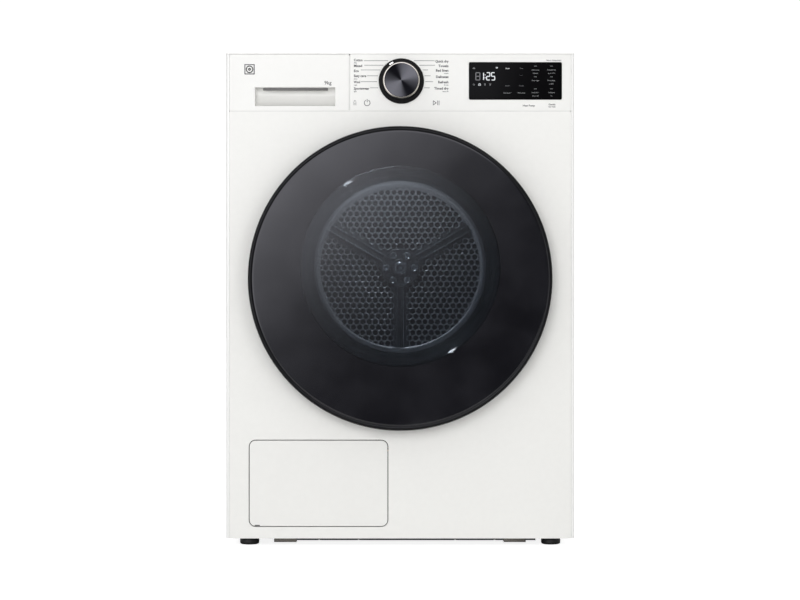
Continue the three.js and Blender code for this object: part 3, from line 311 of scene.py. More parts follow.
def pane_material(name, tint, strength=1.0, roughness=0.03, haze=0.0):
    """Clear glass that lets light straight through, with a gloss on it and a faint body at its edges."""
    mat = bpy.data.materials.new(name)
    mat.use_nodes = True
    n = Nodes(mat.node_tree)
    out = mat.node_tree.nodes["Material Output"]
    body = mat.node_tree.nodes["Principled BSDF"]
    place = n.add("ShaderNodeTexCoord").outputs["Object"]
    noise = n.put(n.add("ShaderNodeTexNoise"), Vector=place, Scale=40.0, Detail=2.0)
    n.link(n.ramp(noise.outputs["Fac"], [(0.3, (0.36, 0.46, 0.52)), (0.7, (0.44, 0.54, 0.60))]),
           body.inputs["Base Color"])
    body.inputs["Roughness"].default_value = 0.12
    clear = n.add("ShaderNodeBsdfTransparent")
    clear.inputs["Color"].default_value = (*tint, 1)
    gloss = n.add("ShaderNodeBsdfGlossy")
    gloss.inputs["Color"].default_value = (1, 1, 1, 1)
    gloss.inputs["Roughness"].default_value = roughness
    facing = n.add("ShaderNodeFresnel")
    facing.inputs["IOR"].default_value = 1.5
    edge = n.add("ShaderNodeLayerWeight")
    edge.inputs["Blend"].default_value = 0.35
    pane = n.add("ShaderNodeMixShader")
    n.link(n.maths("MULTIPLY", facing.outputs[0], strength, clamp=True), pane.inputs[0])
    n.link(clear.outputs[0], pane.inputs[1])
    n.link(gloss.outputs[0], pane.inputs[2])
    whole = n.add("ShaderNodeMixShader")
    n.link(n.maths("MULTIPLY", edge.outputs["Facing"], haze, clamp=True), whole.inputs[0])
    n.link(pane.outputs[0], whole.inputs[1])
    n.link(body.outputs[0], whole.inputs[2])
    n.link(whole.outputs[0], out.inputs["Surface"])
    return mat


def perforated_material(name, colour, pitch):
    """Drum sheet: brushed steel with rows of small holes round it, each painted near black as the shade seen
    through it.
    """
    mat = brushed_material(name, colour, 0.34, "X", 0.03)
    n = Nodes(mat.node_tree)
    shader = mat.node_tree.nodes["Principled BSDF"]
    place = n.add("ShaderNodeTexCoord").outputs["Object"]
    mapping = n.put(n.add("ShaderNodeMapping"), Vector=place, Location=(0, 0, -AXIS.z))
    parts = n.put(n.add("ShaderNodeSeparateXYZ"), Vector=mapping.outputs[0])
    turn = n.maths("ARCTAN2", parts.outputs["Z"], parts.outputs["X"])
    count = round(2 * math.pi * DRUM_R / pitch / 3) * 3
    across = n.maths("MULTIPLY", turn, count / (2 * math.pi))
    down = n.maths("MULTIPLY", parts.outputs["Y"], 1 / (pitch * ROW))
    row = n.maths("FLOOR", down)
    shifted = n.maths("MULTIPLY_ADD", n.maths("MODULO", row, 2.0), 0.5, across)
    u = n.maths("SUBTRACT", n.maths("FRACT", n.maths("ADD", shifted, 1000.0)), 0.5)
    v = n.maths("MULTIPLY", n.maths("SUBTRACT", n.maths("FRACT", n.maths("ADD", down, 1000.0)), 0.5), ROW)
    reach = n.maths("SQRT", n.maths("ADD", n.maths("MULTIPLY", u, u), n.maths("MULTIPLY", v, v)))
    # Painted shade: each hole is filled near black, standing in for the dark seen through it.
    hole = n.ramp(reach, [(0.13, grey(1)), (0.17, grey(0))], smooth=False)
    old = shader.inputs["Base Color"].links[0].from_socket
    n.link(n.mix(hole, old, (0.01, 0.01, 0.012)), shader.inputs["Base Color"])
    relief = n.put(n.add("ShaderNodeBump"), Height=n.ramp(reach, [(0.12, grey(0)), (0.3, grey(1))]),
                   Strength=0.35, Distance=0.0012)
    n.link(relief.outputs[0], shader.inputs["Normal"])
    return mat


# ---------------------------------------------------------------- mesh helpers

def mesh_object(name, mesh):
    ob = bpy.data.objects.new(name, mesh)
    bpy.context.scene.collection.objects.link(ob)
    return ob


def smooth(ob, angle=32):
    """Rounded shading with edges kept sharp past an angle in degrees."""
    for poly in ob.data.polygons:
        poly.use_smooth = True
    ob.data.set_sharp_from_angle(angle=math.radians(angle))
    return ob


def applied(ob):
    """Turns what the object shows into its own plain mesh."""
    bpy.context.view_layer.update()
    shown = ob.evaluated_get(bpy.context.evaluated_depsgraph_get())
    mesh = bpy.data.meshes.new_from_object(shown)
    if ob.type == "MESH":
        old = ob.data
        ob.modifiers.clear()
        ob.data = mesh
        bpy.data.meshes.remove(old)
        return ob
    made = mesh_object(ob.name + "_mesh", mesh)
    made.matrix_world = ob.matrix_world.copy()
    name = ob.name
    bpy.data.objects.remove(ob)
    made.name = name
    return made


def bevelled(ob, width, segments=2):
    mod = ob.modifiers.new("edges", "BEVEL")
    mod.width = width
    mod.segments = segments
    mod.limit_method = "ANGLE"
    mod.angle_limit = EDGE_ANGLE
    return applied(ob)


def lathe(name, profile, centre, count=128, material=None):
    """A profile of [radius, y] turned about an axis along Y. Ends on the axis or closes on itself."""
    bm = bmesh.new()
    rings = []
    closed = profile[0][0] > 1e-9
    for r, y in profile:
        if r < 1e-9:
            rings.append([bm.verts.new((centre.x, y, centre.z))])
            continue
        rings.append([
            bm.verts.new((centre.x + r * math.cos(2 * math.pi * i / count), y,
                          centre.z + r * math.sin(2 * math.pi * i / count)))
            for i in range(count)
        ])
    pairs = list(zip(rings, rings[1:]))
    if closed:
        pairs.append((rings[-1], rings[0]))
    for a, b in pairs:
        for i in range(count):
            j = (i + 1) % count
            corners = []
            for vert in (a[i % len(a)], a[j % len(a)], b[j % len(b)], b[i % len(b)]):
                if vert not in corners:
                    corners.append(vert)
            if len(corners) > 2:
                bm.faces.new(corners)
    bmesh.ops.recalc_face_normals(bm, faces=bm.faces)
    mesh = bpy.data.meshes.new(name)
    bm.to_mesh(mesh)
    bm.free()
    ob = mesh_object(name, mesh)
    if material:
        mesh.materials.append(material)
    return smooth(ob)


def plate(name, outline, y0, y1, material, bevel=0.0):
    """A flat plate drawn in XZ, from y0 back to y1, with rounded edges."""
    curve = bpy.data.curves.new(name, "CURVE")
    curve.dimensions = "2D"
    curve.fill_mode = "BOTH"
    curve.extrude = (y1 - y0) / 2 - bevel
    curve.bevel_depth = bevel
    curve.bevel_resolution = 2
    curve.offset = -bevel
    spline = curve.splines.new("POLY")
    spline.points.add(len(outline) - 1)
    for point, (x, z) in zip(spline.points, outline):
        point.co = (x, z, 0, 1)
    spline.use_cyclic_u = True
    ob = bpy.data.objects.new(name, curve)
    bpy.context.scene.collection.objects.link(ob)
    ob = applied(ob)
    turn = Matrix(((1, 0, 0, 0), (0, 0, -1, (y0 + y1) / 2), (0, 1, 0, 0), (0, 0, 0, 1)))
    ob.data.transform(turn)
    bm = bmesh.new()
    bm.from_mesh(ob.data)
    bmesh.ops.remove_doubles(bm, verts=bm.verts, dist=1e-6)
    bmesh.ops.recalc_face_normals(bm, faces=bm.faces)
    bm.to_mesh(ob.data)
    bm.free()
    ob.data.materials.clear()
    ob.data.materials.append(material)
    return smooth(ob)


def box_mesh(bm, low, high):
    """Adds a block between two corners."""
    made = bmesh.ops.create_cube(bm, size=1)["verts"]
    size = [b - a for a, b in zip(low, high)]
    middle = [(a + b) / 2 for a, b in zip(low, high)]
    bmesh.ops.scale(bm, verts=made, vec=size)
    bmesh.ops.translate(bm, verts=made, vec=middle)
    return made


def from_bmesh(name, bm, material, bevel=0.0):
    mesh = bpy.data.meshes.new(name)
    bm.to_mesh(mesh)
    bm.free()
    mesh.materials.append(material)
    ob = mesh_object(name, mesh)
    if bevel:
        ob = bevelled(ob, bevel)
    return smooth(ob)


def outward(ob):
    """Turns every face of a mesh outwards."""
    bm = bmesh.new()
    bm.from_mesh(ob.data)
    bmesh.ops.recalc_face_normals(bm, faces=bm.faces)
    bm.to_mesh(ob.data)
    bm.free()
    return ob


def upright(ob, place):
    """Stands a piece that was turned about Y on its end, at a place on the floor."""
    ob.data.transform(Matrix(((1, 0, 0, place.x), (0, 0, 1, place.y), (0, 1, 0, 0), (0, 0, 0, 1))))
    return ob


def rounded(x0, x1, z0, z1, r, steps=6):
    """The outline of a rectangle with round corners."""
    points = []
    corners = ((x1 - r, z0 + r, -90), (x1 - r, z1 - r, 0), (x0 + r, z1 - r, 90), (x0 + r, z0 + r, 180))
    for x, z, start in corners:
        for i in range(steps + 1):
            turn = math.radians(start + 90 * i / steps)
            points.append((x + r * math.cos(turn), z + r * math.sin(turn)))
    return points


def flat_faces(ob):
    """Shades the faces that look straight along an axis flat, and leaves the rounded edges smooth."""
    for poly in ob.data.polygons:
        poly.use_smooth = max(abs(c) for c in poly.normal) < 0.99995
    return ob


def refined(node, name, material, bevel=0.0006, segments=2, angle=32):
    """A detailed stand-in for a CAD node: its own shape with clean faces and rounded edges."""
    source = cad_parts[node]
    bm = bmesh.new()
    bm.from_mesh(source.data)
    bmesh.ops.remove_doubles(bm, verts=bm.verts, dist=2e-6)
    bmesh.ops.dissolve_limit(bm, angle_limit=math.radians(0.6), verts=bm.verts, edges=bm.edges)
    ob = from_bmesh(name, bm, material)
    if bevel:
        ob = bevelled(ob, bevel, segments)
    smooth(ob, angle)
    ob.data.materials.clear()
    ob.data.materials.append(material)
    return ob


def belongs(ob, body, slot, *nodes):
    """Puts a finished piece on its body and hides the CAD nodes it stands for; the slot is not used."""
    if nodes:
        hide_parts(*nodes)
    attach(ob, body)
    return ob


def paint(node, material):
    """Gives a CAD node that stays its material."""
    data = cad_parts[node].data
    data.materials.clear()
    data.materials.append(material)


# ---------------------------------------------------------------- Geometry Nodes

def group_inputs(tree, sockets):
    made = {}
    tree.interface.new_socket("Geometry", in_out="OUTPUT", socket_type="NodeSocketGeometry")
    for name, kind, value in sockets:
        socket = tree.interface.new_socket(name, in_out="INPUT", socket_type=kind)
        if value is not None:
            socket.default_value = value
        made[name] = socket.identifier
    return made


def scatter_tree():
    """Copies one shape to every point of the mesh it is put on, turned by the points' own angles."""
    tree = bpy.data.node_groups.new("copies_at_points", "GeometryNodeTree")
    ids = group_inputs(tree, [
        ("Points", "NodeSocketGeometry", None),
        ("Shape", "NodeSocketObject", None),
        ("Size", "NodeSocketFloat", 1.0),
        ("Weld", "NodeSocketFloat", 0.0),
        ("Material", "NodeSocketMaterial", None),
    ])
    n = Nodes(tree)
    given = n.add("NodeGroupInput")
    out = n.add("NodeGroupOutput")
    info = n.add("GeometryNodeObjectInfo", transform_space="ORIGINAL")
    n.link(given.outputs["Shape"], info.inputs["Object"])
    angle = n.add("GeometryNodeInputNamedAttribute", data_type="FLOAT_VECTOR")
    angle.inputs["Name"].default_value = "turn"
    copies = n.add("GeometryNodeInstanceOnPoints")
    n.link(given.outputs["Points"], copies.inputs["Points"])
    n.link(info.outputs["Geometry"], copies.inputs["Instance"])
    n.link(angle.outputs[0], copies.inputs["Rotation"])
    n.link(given.outputs["Size"], copies.inputs["Scale"])
    real = n.add("GeometryNodeRealizeInstances")
    n.link(copies.outputs[0], real.inputs[0])
    weld = n.add("GeometryNodeMergeByDistance")
    n.link(real.outputs[0], weld.inputs["Geometry"])
    n.link(given.outputs["Weld"], weld.inputs["Distance"])
    skin = n.add("GeometryNodeSetMaterial")
    n.link(weld.outputs[0], skin.inputs["Geometry"])
    n.link(given.outputs["Material"], skin.inputs["Material"])
    n.link(skin.outputs[0], out.inputs[0])
    return tree, ids


def copies(name, shape, places, material, size=1.0, weld=0.0):
    """Repeats a shape at places of (point, turn) through the node tree, as one plain mesh."""
    tree, ids = scatter_tree()
    mesh = bpy.data.meshes.new(name)
    mesh.from_pydata([tuple(p) for p, _ in places], [], [])
    turns = mesh.attributes.new("turn", "FLOAT_VECTOR", "POINT")
    for i, (_, turn) in enumerate(places):
        turns.data[i].vector = turn
    ob = mesh_object(name, mesh)
    mod = ob.modifiers.new("copies", "NODES")
    mod.node_group = tree
    mod[ids["Shape"]] = shape
    mod[ids["Size"]] = size
    mod[ids["Weld"]] = weld
    mod[ids["Material"]] = material
    ob = applied(ob)
    bpy.data.objects.remove(shape)
    ob.data.materials.clear()
    ob.data.materials.append(material)
    for poly in ob.data.polygons:
        poly.material_index = 0
    return smooth(ob)


def screw_shape():
    """A pan-head screw with a cross recess, its head towards -Y."""
    bm = bmesh.new()
    r, h, count = 4.2 * MM, 2.2 * MM, 20
    rings = []
    for radius, y in ((r, 0), (r, -0.5 * h), (0.8 * r, -0.9 * h), (0.45 * r, -h)):
        rings.append([bm.verts.new((radius * math.cos(2 * math.pi * i / count), y,
                                    radius * math.sin(2 * math.pi * i / count))) for i in range(count)])
    star = [bm.verts.new(((0.42 if i % 2 else 0.16) * r * math.cos(math.pi * i / 4), -h,
                          (0.42 if i % 2 else 0.16) * r * math.sin(math.pi * i / 4))) for i in range(8)]
    pit = [bm.verts.new((v.co.x * 0.7, -0.4 * h, v.co.z * 0.7)) for v in star]
    for a, b in zip(rings, rings[1:]):
        for i in range(count):
            j = (i + 1) % count
            bm.faces.new((a[i], a[j], b[j], b[i]))
    edges = [e for e in bm.edges if e.is_boundary and e.verts[0] in rings[-1] and e.verts[1] in rings[-1]]
    star_edges = [bm.edges.new((star[i], star[(i + 1) % 8])) for i in range(8)]
    bmesh.ops.bridge_loops(bm, edges=edges + star_edges)
    for i in range(8):
        j = (i + 1) % 8
        bm.faces.new((star[i], star[j], pit[j], pit[i]))
    bm.faces.new(pit)
    bm.faces.new(rings[0])
    bmesh.ops.recalc_face_normals(bm, faces=bm.faces)
    mesh = bpy.data.meshes.new("screw")
    bm.to_mesh(mesh)
    bm.free()
    return mesh_object("screw", mesh)


def hole_cell(pitch, hole):
    """One six-sided cell of perforated sheet, dished to a round hole with a turned-in edge."""
    bm = bmesh.new()
    outer_r = pitch / math.sqrt(3)
    count = 12
    outer, mid, lip, back = [], [], [], []
    for i in range(count):
        turn = math.radians(30 * i)
        c, s = math.cos(turn), math.sin(turn)
        edge = outer_r if i % 2 else outer_r * math.cos(math.pi / 6)
        outer.append(bm.verts.new((edge * c, 0, edge * s)))
        mid.append(bm.verts.new((hole * 1.14 * c, 0.35 * MM, hole * 1.14 * s)))
        lip.append(bm.verts.new((hole * c, 1.1 * MM, hole * s)))
        back.append(bm.verts.new((hole * 0.99 * c, 2.4 * MM, hole * 0.99 * s)))
    for a, b in ((outer, mid), (mid, lip), (lip, back)):
        for i in range(count):
            j = (i + 1) % count
            bm.faces.new((a[i], b[i], b[j], a[j]))
    bmesh.ops.recalc_face_normals(bm, faces=bm.faces)
    if sum(f.normal.y for f in bm.faces if f.verts[0] in outer) > 0:
        bmesh.ops.reverse_faces(bm, faces=bm.faces)
    mesh = bpy.data.meshes.new("cell")
    bm.to_mesh(mesh)
    bm.free()
    return mesh_object("cell", mesh)


# ---------------------------------------------------------------- printing

def lettering(name, text, x, z, y, height, material, align="LEFT", width=None, bold=0.02):
    """Printed words: a thin mesh just in front of a face at y, with its capitals height tall."""
    curve = bpy.data.curves.new(name, "FONT")
    curve.body = text
    curve.size = height / 0.7
    curve.align_x = align
    curve.resolution_u = 2
    curve.offset = bold * height
    curve.extrude = 0.00004
    ob = bpy.data.objects.new(name, curve)
    bpy.context.scene.collection.objects.link(ob)
    ob = applied(ob)
    xs = [v.co.x for v in ob.data.vertices]
    wide = max(xs) - min(xs)
    scale = width / wide if width and wide > width else 1
    ob.data.transform(Matrix.Diagonal((scale, 1, 1, 1)))
    ob.data.transform(Matrix(((1, 0, 0, x), (0, 0, -1, y), (0, 1, 0, z - height / 2), (0, 0, 0, 1))))
    ob.data.materials.clear()
    ob.data.materials.append(material)
    return ob


def strokes(name, lines, y, width, material):
    """Printed lines: thin raised bars along each list of (x, z) points."""
    bm = bmesh.new()
    for points in lines:
        for (x0, z0), (x1, z1) in zip(points, points[1:]):
            a, b = Vector((x0, z0)), Vector((x1, z1))
            along = (b - a).normalized() if (b - a).length else Vector((1, 0))
            side = Vector((-along.y, along.x)) * width / 2
            a, b = a - along * width * 0.3, b + along * width * 0.3
            ring = [a + side, a - side, b - side, b + side]
            low = [bm.verts.new((p.x, y - 0.00004, p.y)) for p in ring]
            high = [bm.verts.new((p.x, y + 0.00004, p.y)) for p in ring]
            bm.faces.new(low)
            bm.faces.new(high[::-1])
            for i in range(4):
                j = (i + 1) % 4
                bm.faces.new((low[i], high[i], high[j], low[j]))
    bmesh.ops.recalc_face_normals(bm, faces=bm.faces)
    mesh = bpy.data.meshes.new(name)
    bm.to_mesh(mesh)
    bm.free()
    mesh.materials.append(material)
    return mesh_object(name, mesh)


def arc(x, z, r, start, end, steps=20):
    return [(x + r * math.cos(math.radians(start + (end - start) * i / steps)),
             z + r * math.sin(math.radians(start + (end - start) * i / steps))) for i in range(steps + 1)]


def merged(name, parts):
    """Joins meshes that are already in place into one object."""
    bm = bmesh.new()
    materials = []
    for part in parts:
        start = len(bm.faces)
        bm.from_mesh(part.data)
        bm.faces.ensure_lookup_table()
        if part.data.materials[0] not in materials:
            materials.append(part.data.materials[0])
        for face in bm.faces[start:]:
            face.material_index = materials.index(part.data.materials[0])
    mesh = bpy.data.meshes.new(name)
    bm.to_mesh(mesh)
    bm.free()
    for material in materials:
        mesh.materials.append(material)
    for part in parts:
        bpy.data.objects.remove(part)
    return mesh_object(name, mesh)


SEGMENTS = {"0": "abcdef", "1": "bc", "2": "abged", "3": "abgcd", "4": "fgbc", "5": "afgcd",
            "6": "afgedc", "7": "abc", "8": "abcdefg", "9": "abcdfg"}


def digit_lines(value, x, z, w, h):
    """Bars of a seven-bar figure whose lower left corner is at (x, z)."""
    g = h * 0.05
    bars = {
        "a": [(x + g, z + h), (x + w - g, z + h)],
        "b": [(x + w, z + h - g), (x + w, z + h / 2 + g)],
        "c": [(x + w, z + h / 2 - g), (x + w, z + g)],
        "d": [(x + g, z), (x + w - g, z)],
        "e": [(x, z + g), (x, z + h / 2 - g)],
        "f": [(x, z + h / 2 + g), (x, z + h - g)],
        "g": [(x + g, z + h / 2), (x + w - g, z + h / 2)],
    }
    return [bars[bar] for bar in SEGMENTS[value]]


# ---------------------------------------------------------------- materials of this machine

LOOKS = {}


def looks(settings):
    """Makes every finish once and keeps them by name."""
    if LOOKS:
        return LOOKS
    white = tuple(settings.cabinet_white)
    LOOKS["enamel"] = finish_material("enamel", white, 0.42, 0, 0.006, 900, 0.012, spread=0.05, specular=0.22)
    LOOKS["white_gloss"] = finish_material("white_gloss", tuple(settings.strip_white), 0.32, 0, 0.005, 700,
                                           0.008, spread=0.05, specular=0.22)
    # Painted light: a whiter copy of the enamel for the side panels, so their turned front edges look as lit
    # as the front.
    LOOKS["side_white"] = finish_material("side_white", (0.945, 0.945, 0.93), 0.3, 0, 0.005, 900, 0.012,
                                          spread=0.05, coat=0.2)
    # Painted light: a pale fill for the joints round the control strip.
    LOOKS["seam_white"] = finish_material("seam_white", (0.78, 0.78, 0.76), 0.6, 0, 0.02, 500, 0.02)
    LOOKS["pad_zinc"] = finish_material("pad_zinc", (0.13, 0.12, 0.105), 0.45, 0.4, 0.15, 300, 0.05)
    # Painted shade: the dark of the slot under the tank grip's lip.
    LOOKS["slot_grey"] = finish_material("slot_grey", (0.10, 0.097, 0.094), 0.5, 0, 0.06, 300, 0.03)
    LOOKS["hatch_white"] = finish_material("hatch_white", shade(white, 0.985), 0.42, 0, 0.006, 800, 0.02,
                                           spread=0.05, specular=0.22)
    LOOKS["ring_black"] = finish_material("ring_black", (0.006, 0.006, 0.007), 0.2, 0, 0.2, 300, 0.01,
                                          spread=0.05, specular=0.15)
    LOOKS["door_screen"] = screen_material("door_screen", settings)
    LOOKS["bowl_glass"] = pane_material("bowl_glass", (0.93, 0.95, 0.96), 1.6, 0.09, 0.16)
    LOOKS["tub_plastic"] = finish_material("tub_plastic", (0.55, 0.6, 0.64), 0.3, 0, 0.05, 200, 0.05)
    LOOKS["inner_grey"] = finish_material("inner_grey", (0.10, 0.105, 0.12), 0.32, 0, 0.08, 500, 0.06, 900)
    LOOKS["throat_grey"] = finish_material("throat_grey", (0.30, 0.31, 0.33), 0.38, 0, 0.05, 500, 0.08, 900)
    LOOKS["lifter_grey"] = finish_material("lifter_grey", (0.42, 0.44, 0.46), 0.36, 0, 0.05, 500, 0.08, 900)
    LOOKS["dark_moulding"] = finish_material("dark_moulding", (0.022, 0.022, 0.024), 0.5, 0, 0.2, 500, 0.15,
                                             800)
    LOOKS["rubber"] = finish_material("rubber", (0.012, 0.012, 0.012), 0.42, 0, 0.25, 400, 0.1)
    LOOKS["seal"] = finish_material("seal", (0.06, 0.062, 0.066), 0.62, 0, 0.15, 400, 0.15)
    LOOKS["felt"] = finish_material("felt", (0.36, 0.35, 0.33), 0.95, 0, 0.2, 2200, 0.7)
    LOOKS["galvanised"] = finish_material("galvanised", (0.60, 0.62, 0.64), 0.42, 0.9, 0.12, 45, 0.05, 60,
                                          0.12)
    LOOKS["steel"] = brushed_material("steel", (0.62, 0.62, 0.64), 0.3, "Z")
    LOOKS["drum_sheet"] = perforated_material("drum_sheet", (0.66, 0.66, 0.68), 18 * MM)
    LOOKS["drum_back"] = spun_material("drum_back", (0.56, 0.57, 0.59), (0.72, 0.73, 0.75), AXIS, 0.32, 0.5)
    # Painted shade and highlight: a dark copy and a bright copy of the drum's steel, the dark one for the
    # hub, the webs and the arm channels, the bright one for the arm rails, the bosses and the hub cap.
    LOOKS["drum_plain"] = brushed_material("drum_plain", (0.16, 0.165, 0.175), 0.34, "Z", 0.02, 0.5)
    LOOKS["rail_steel"] = brushed_material("rail_steel", (0.80, 0.83, 0.86), 0.2, "Z", 0.02, 0.7)
    LOOKS["knob_face"] = spun_material("knob_face", (0.004, 0.004, 0.005), (0.11, 0.11, 0.12), KNOB, 0.36)
    LOOKS["knob_side"] = finish_material("knob_side", (0.012, 0.012, 0.013), 0.35, 0.0, 0.1, 600, 0.03,
                                         specular=0.3)
    LOOKS["knob_skirt"] = finish_material("knob_skirt", (0.012, 0.0115, 0.012), 0.62, 0, 0.1, 500, 0.01,
                                          specular=0.06)
    LOOKS["champagne"] = finish_material("champagne", (0.72, 0.68, 0.62), 0.16, 1.0, 0.04, 900, 0.01)
    LOOKS["marker"] = light_material("marker", (0.9, 0.9, 0.9), 0.9)
    LOOKS["legend"] = finish_material("legend", tuple(settings.legend_grey), 0.5, 0, 0.04, 900, 0.01)
    LOOKS["legend_soft"] = finish_material("legend_soft", shade(settings.legend_grey, 3.4), 0.5, 0, 0.04, 900,
                                           0.01)
    LOOKS["glass_black"] = finish_material("glass_black", (0.004, 0.004, 0.0045), 0.07, 0, 0.2, 60, 0.0,
                                           spread=0.03, specular=0.04)
    LOOKS["lit"] = light_material("lit", (0.62, 0.64, 0.66), 0.55)
    LOOKS["lit_soft"] = light_material("lit_soft", (0.30, 0.31, 0.32), 0.02)
    LOOKS["unlit"] = light_material("unlit", (0.12, 0.12, 0.13), 0.03)
    LOOKS["fins"] = brushed_material("fins", (0.74, 0.76, 0.78), 0.36, "Z")
    LOOKS["copper"] = finish_material("copper", (0.72, 0.36, 0.22), 0.28, 1.0, 0.12, 60, 0.03)
    LOOKS["board"] = finish_material("board", (0.03, 0.16, 0.08), 0.4, 0, 0.15, 300, 0.1)
    LOOKS["cast"] = finish_material("cast", (0.05, 0.052, 0.056), 0.5, 0.4, 0.15, 300, 0.2)
    LOOKS["shadow"] = finish_material("shadow", (0.02, 0.02, 0.022), 0.7, 0, 0.1, 200, 0.05)
    return LOOKS


# ---------------------------------------------------------------- settings

class DryerSettings(bpy.types.PropertyGroup):
    """Colours and sizes of the finished machine."""

    cabinet_white: bpy.props.FloatVectorProperty(
        name="Cabinet white", description="Colour of the painted panels", subtype="COLOR",
        default=(0.875, 0.872, 0.845), min=0, max=1)
    strip_white: bpy.props.FloatVectorProperty(
        name="Strip white", description="Colour of the control strip", subtype="COLOR",
        default=(0.868, 0.865, 0.842), min=0, max=1)
    legend_grey: bpy.props.FloatVectorProperty(
        name="Legend grey", description="Colour of the printing", subtype="COLOR",
        default=(0.035, 0.035, 0.038), min=0, max=1)
    screen_tint: bpy.props.FloatVectorProperty(
        name="Door tint", description="Light that the door's disc lets through", subtype="COLOR",
        default=(0.43, 0.45, 0.475), min=0, max=1)
    hole_pitch: bpy.props.FloatProperty(
        name="Hole pitch", description="Distance between the holes of the drum's back", unit="LENGTH",
        default=12.2 * MM, min=4 * MM, max=40 * MM)
    knurls: bpy.props.IntProperty(
        name="Knurls", description="Slanted ribs round the knob's skirt", default=96, min=12, max=240)
    camera_distance: bpy.props.FloatProperty(
        name="Camera distance", description="From the camera to the front panel", unit="LENGTH",
        default=4.2, min=1, max=20)
    camera_height: bpy.props.FloatProperty(
        name="Camera height", description="Height of the lens over the floor", unit="LENGTH",
        default=0.465, min=0, max=3)


def current():
    return bpy.context.scene.dryer


# ---------------------------------------------------------------- cabinet

def make_front_panel(look):
    node = flat_faces(refined("front_panel", "front_sheet", look["enamel"], 0.0009, 3))
    return belongs(node, "cabinet", "white_paint", "front_panel")


def pressing(name, side, look):
    """The raised field pressed into a side panel, with a second step inside it."""
    parts = []
    y0, y1 = FRONT_Y + 0.06, REAR_Y - 0.05
    for inset, rise in ((0.0, 0.0009), (0.03, 0.0016)):
        outline = rounded(y0 + inset, y1 - inset, 0.11 + inset, TOP_Z - 0.09 - inset, 0.03)
        field = plate(f"{name}_{inset}", outline, -rise, 0.0004, look["enamel"], bevel=0.0004)
        x = side * HALF
        field.data.transform(Matrix(((0, side * -1, 0, x), (1, 0, 0, 0), (0, 0, 1, 0), (0, 0, 0, 1))))
        parts.append(outward(field))
    return merged(name, parts)


class DRYER_OT_cabinet(bpy.types.Operator):
    """Paints and details the cabinet's panels, feet and base"""

    bl_idname = "dryer.cabinet"
    bl_label = "Cabinet"

    def execute(self, context):
        look = looks(current())
        make_front_panel(look)
        for side, word in ((-1, "left"), (1, "right")):
            # The side skins take the whiter copy of the enamel, painted light.
            panel = refined(f"side_panel_{word}", f"side_skin_{word}", look["side_white"], 0.0005)
            belongs(flat_faces(panel), "cabinet", "white_paint", f"side_panel_{word}")
            belongs(pressing(f"side_pressing_{word}", side, look), "cabinet", "white_paint")
        worktop = flat_faces(refined("top_panel", "worktop", look["enamel"], 0.0007, 3))
        belongs(worktop, "cabinet", "white_paint", "top_panel")
        belongs(refined("base_beam", "base_rail", look["dark_moulding"], 0.0005), "cabinet", "dark_plastic",
                "base_beam")
        for word in ("front_left", "front_right", "rear_left", "rear_right"):
            low, high = span(f"foot_{word}")
            self.foot(word, (low + high) / 2, PAD_SPREAD * (high.x - low.x) / 2, high.z, look)
        self.seams(look)
        pads = [belongs(p, "cabinet", "galvanised") for p in self.brackets(look)]
        if len(pads) != 2:
            raise RuntimeError("the base needs its two mounting pads")
        return {"FINISHED"}

    def foot(self, word, place, r, top, look):
        """A ribbed rubber pad under a nut, on a threaded stem."""
        pad = [(0, 0), (r * 0.8, 0), (r * 0.93, 0.0008), (r, 0.003), (r, 0.0088), (r * 0.95, 0.0105),
               (r * 0.72, 0.0118), (0.010, 0.0122), (0.0, 0.0122)]
        piece = upright(lathe(f"pad_{word}", pad, Vector((0, 0, 0)), 48, look["rubber"]), place)
        stem = [(0, 0.011), (0.0048, 0.011)]
        z = 0.0115
        while z < top - 0.001:
            stem += [(0.0049, z), (0.0043, z + 0.0006)]
            z += 0.0012
        stem += [(0.0043, top), (0, top)]
        rod = upright(lathe(f"stem_{word}", stem, Vector((0, 0, 0)), 24, look["steel"]), place)
        whole = smooth(outward(merged(f"levelling_foot_{word}", [piece, rod])))
        body = "foot_" + "".join(part[0] for part in word.split("_"))
        belongs(whole, body, "rubber_black", f"foot_{word}")

    def seams(self, look):
        """Pale strips set into the joints round the control strip, painted light where the joints would fall
        dark.
        """
        strip_low = span("control_fascia")[0]
        bm = bmesh.new()
        box_mesh(bm, (-HALF + 0.0065, FRONT_Y + 0.0005, PANEL_HIGH.z + 0.00004),
                 (HALF - 0.0065, FRONT_Y + 0.0014, strip_low.z - 0.00004))
        box_mesh(bm, (strip_low.x - 0.0016, FRONT_Y + 0.0003, strip_low.z),
                 (strip_low.x - 0.00004, FRONT_Y + 0.0011, TOP_Z - 0.004))
        belongs(from_bmesh("seam_strips", bm, look["seam_white"]), "cabinet", "white_plastic")

    def brackets(self, look):
        """Zinc mounting pads on the beam's ends."""
        low, high = span("base_beam")
        made = []
        for x0, x1 in ((low.x, low.x + 0.039), (high.x - 0.056, high.x - 0.018)):
            bm = bmesh.new()
            box_mesh(bm, (x0 + 0.0005, low.y - 0.0006, low.z + 0.0005), (x1, low.y + 0.018, high.z - 0.001))
            made.append(from_bmesh(f"mounting_pad_{len(made)}", bm, look["pad_zinc"], 0.0006))
        return made


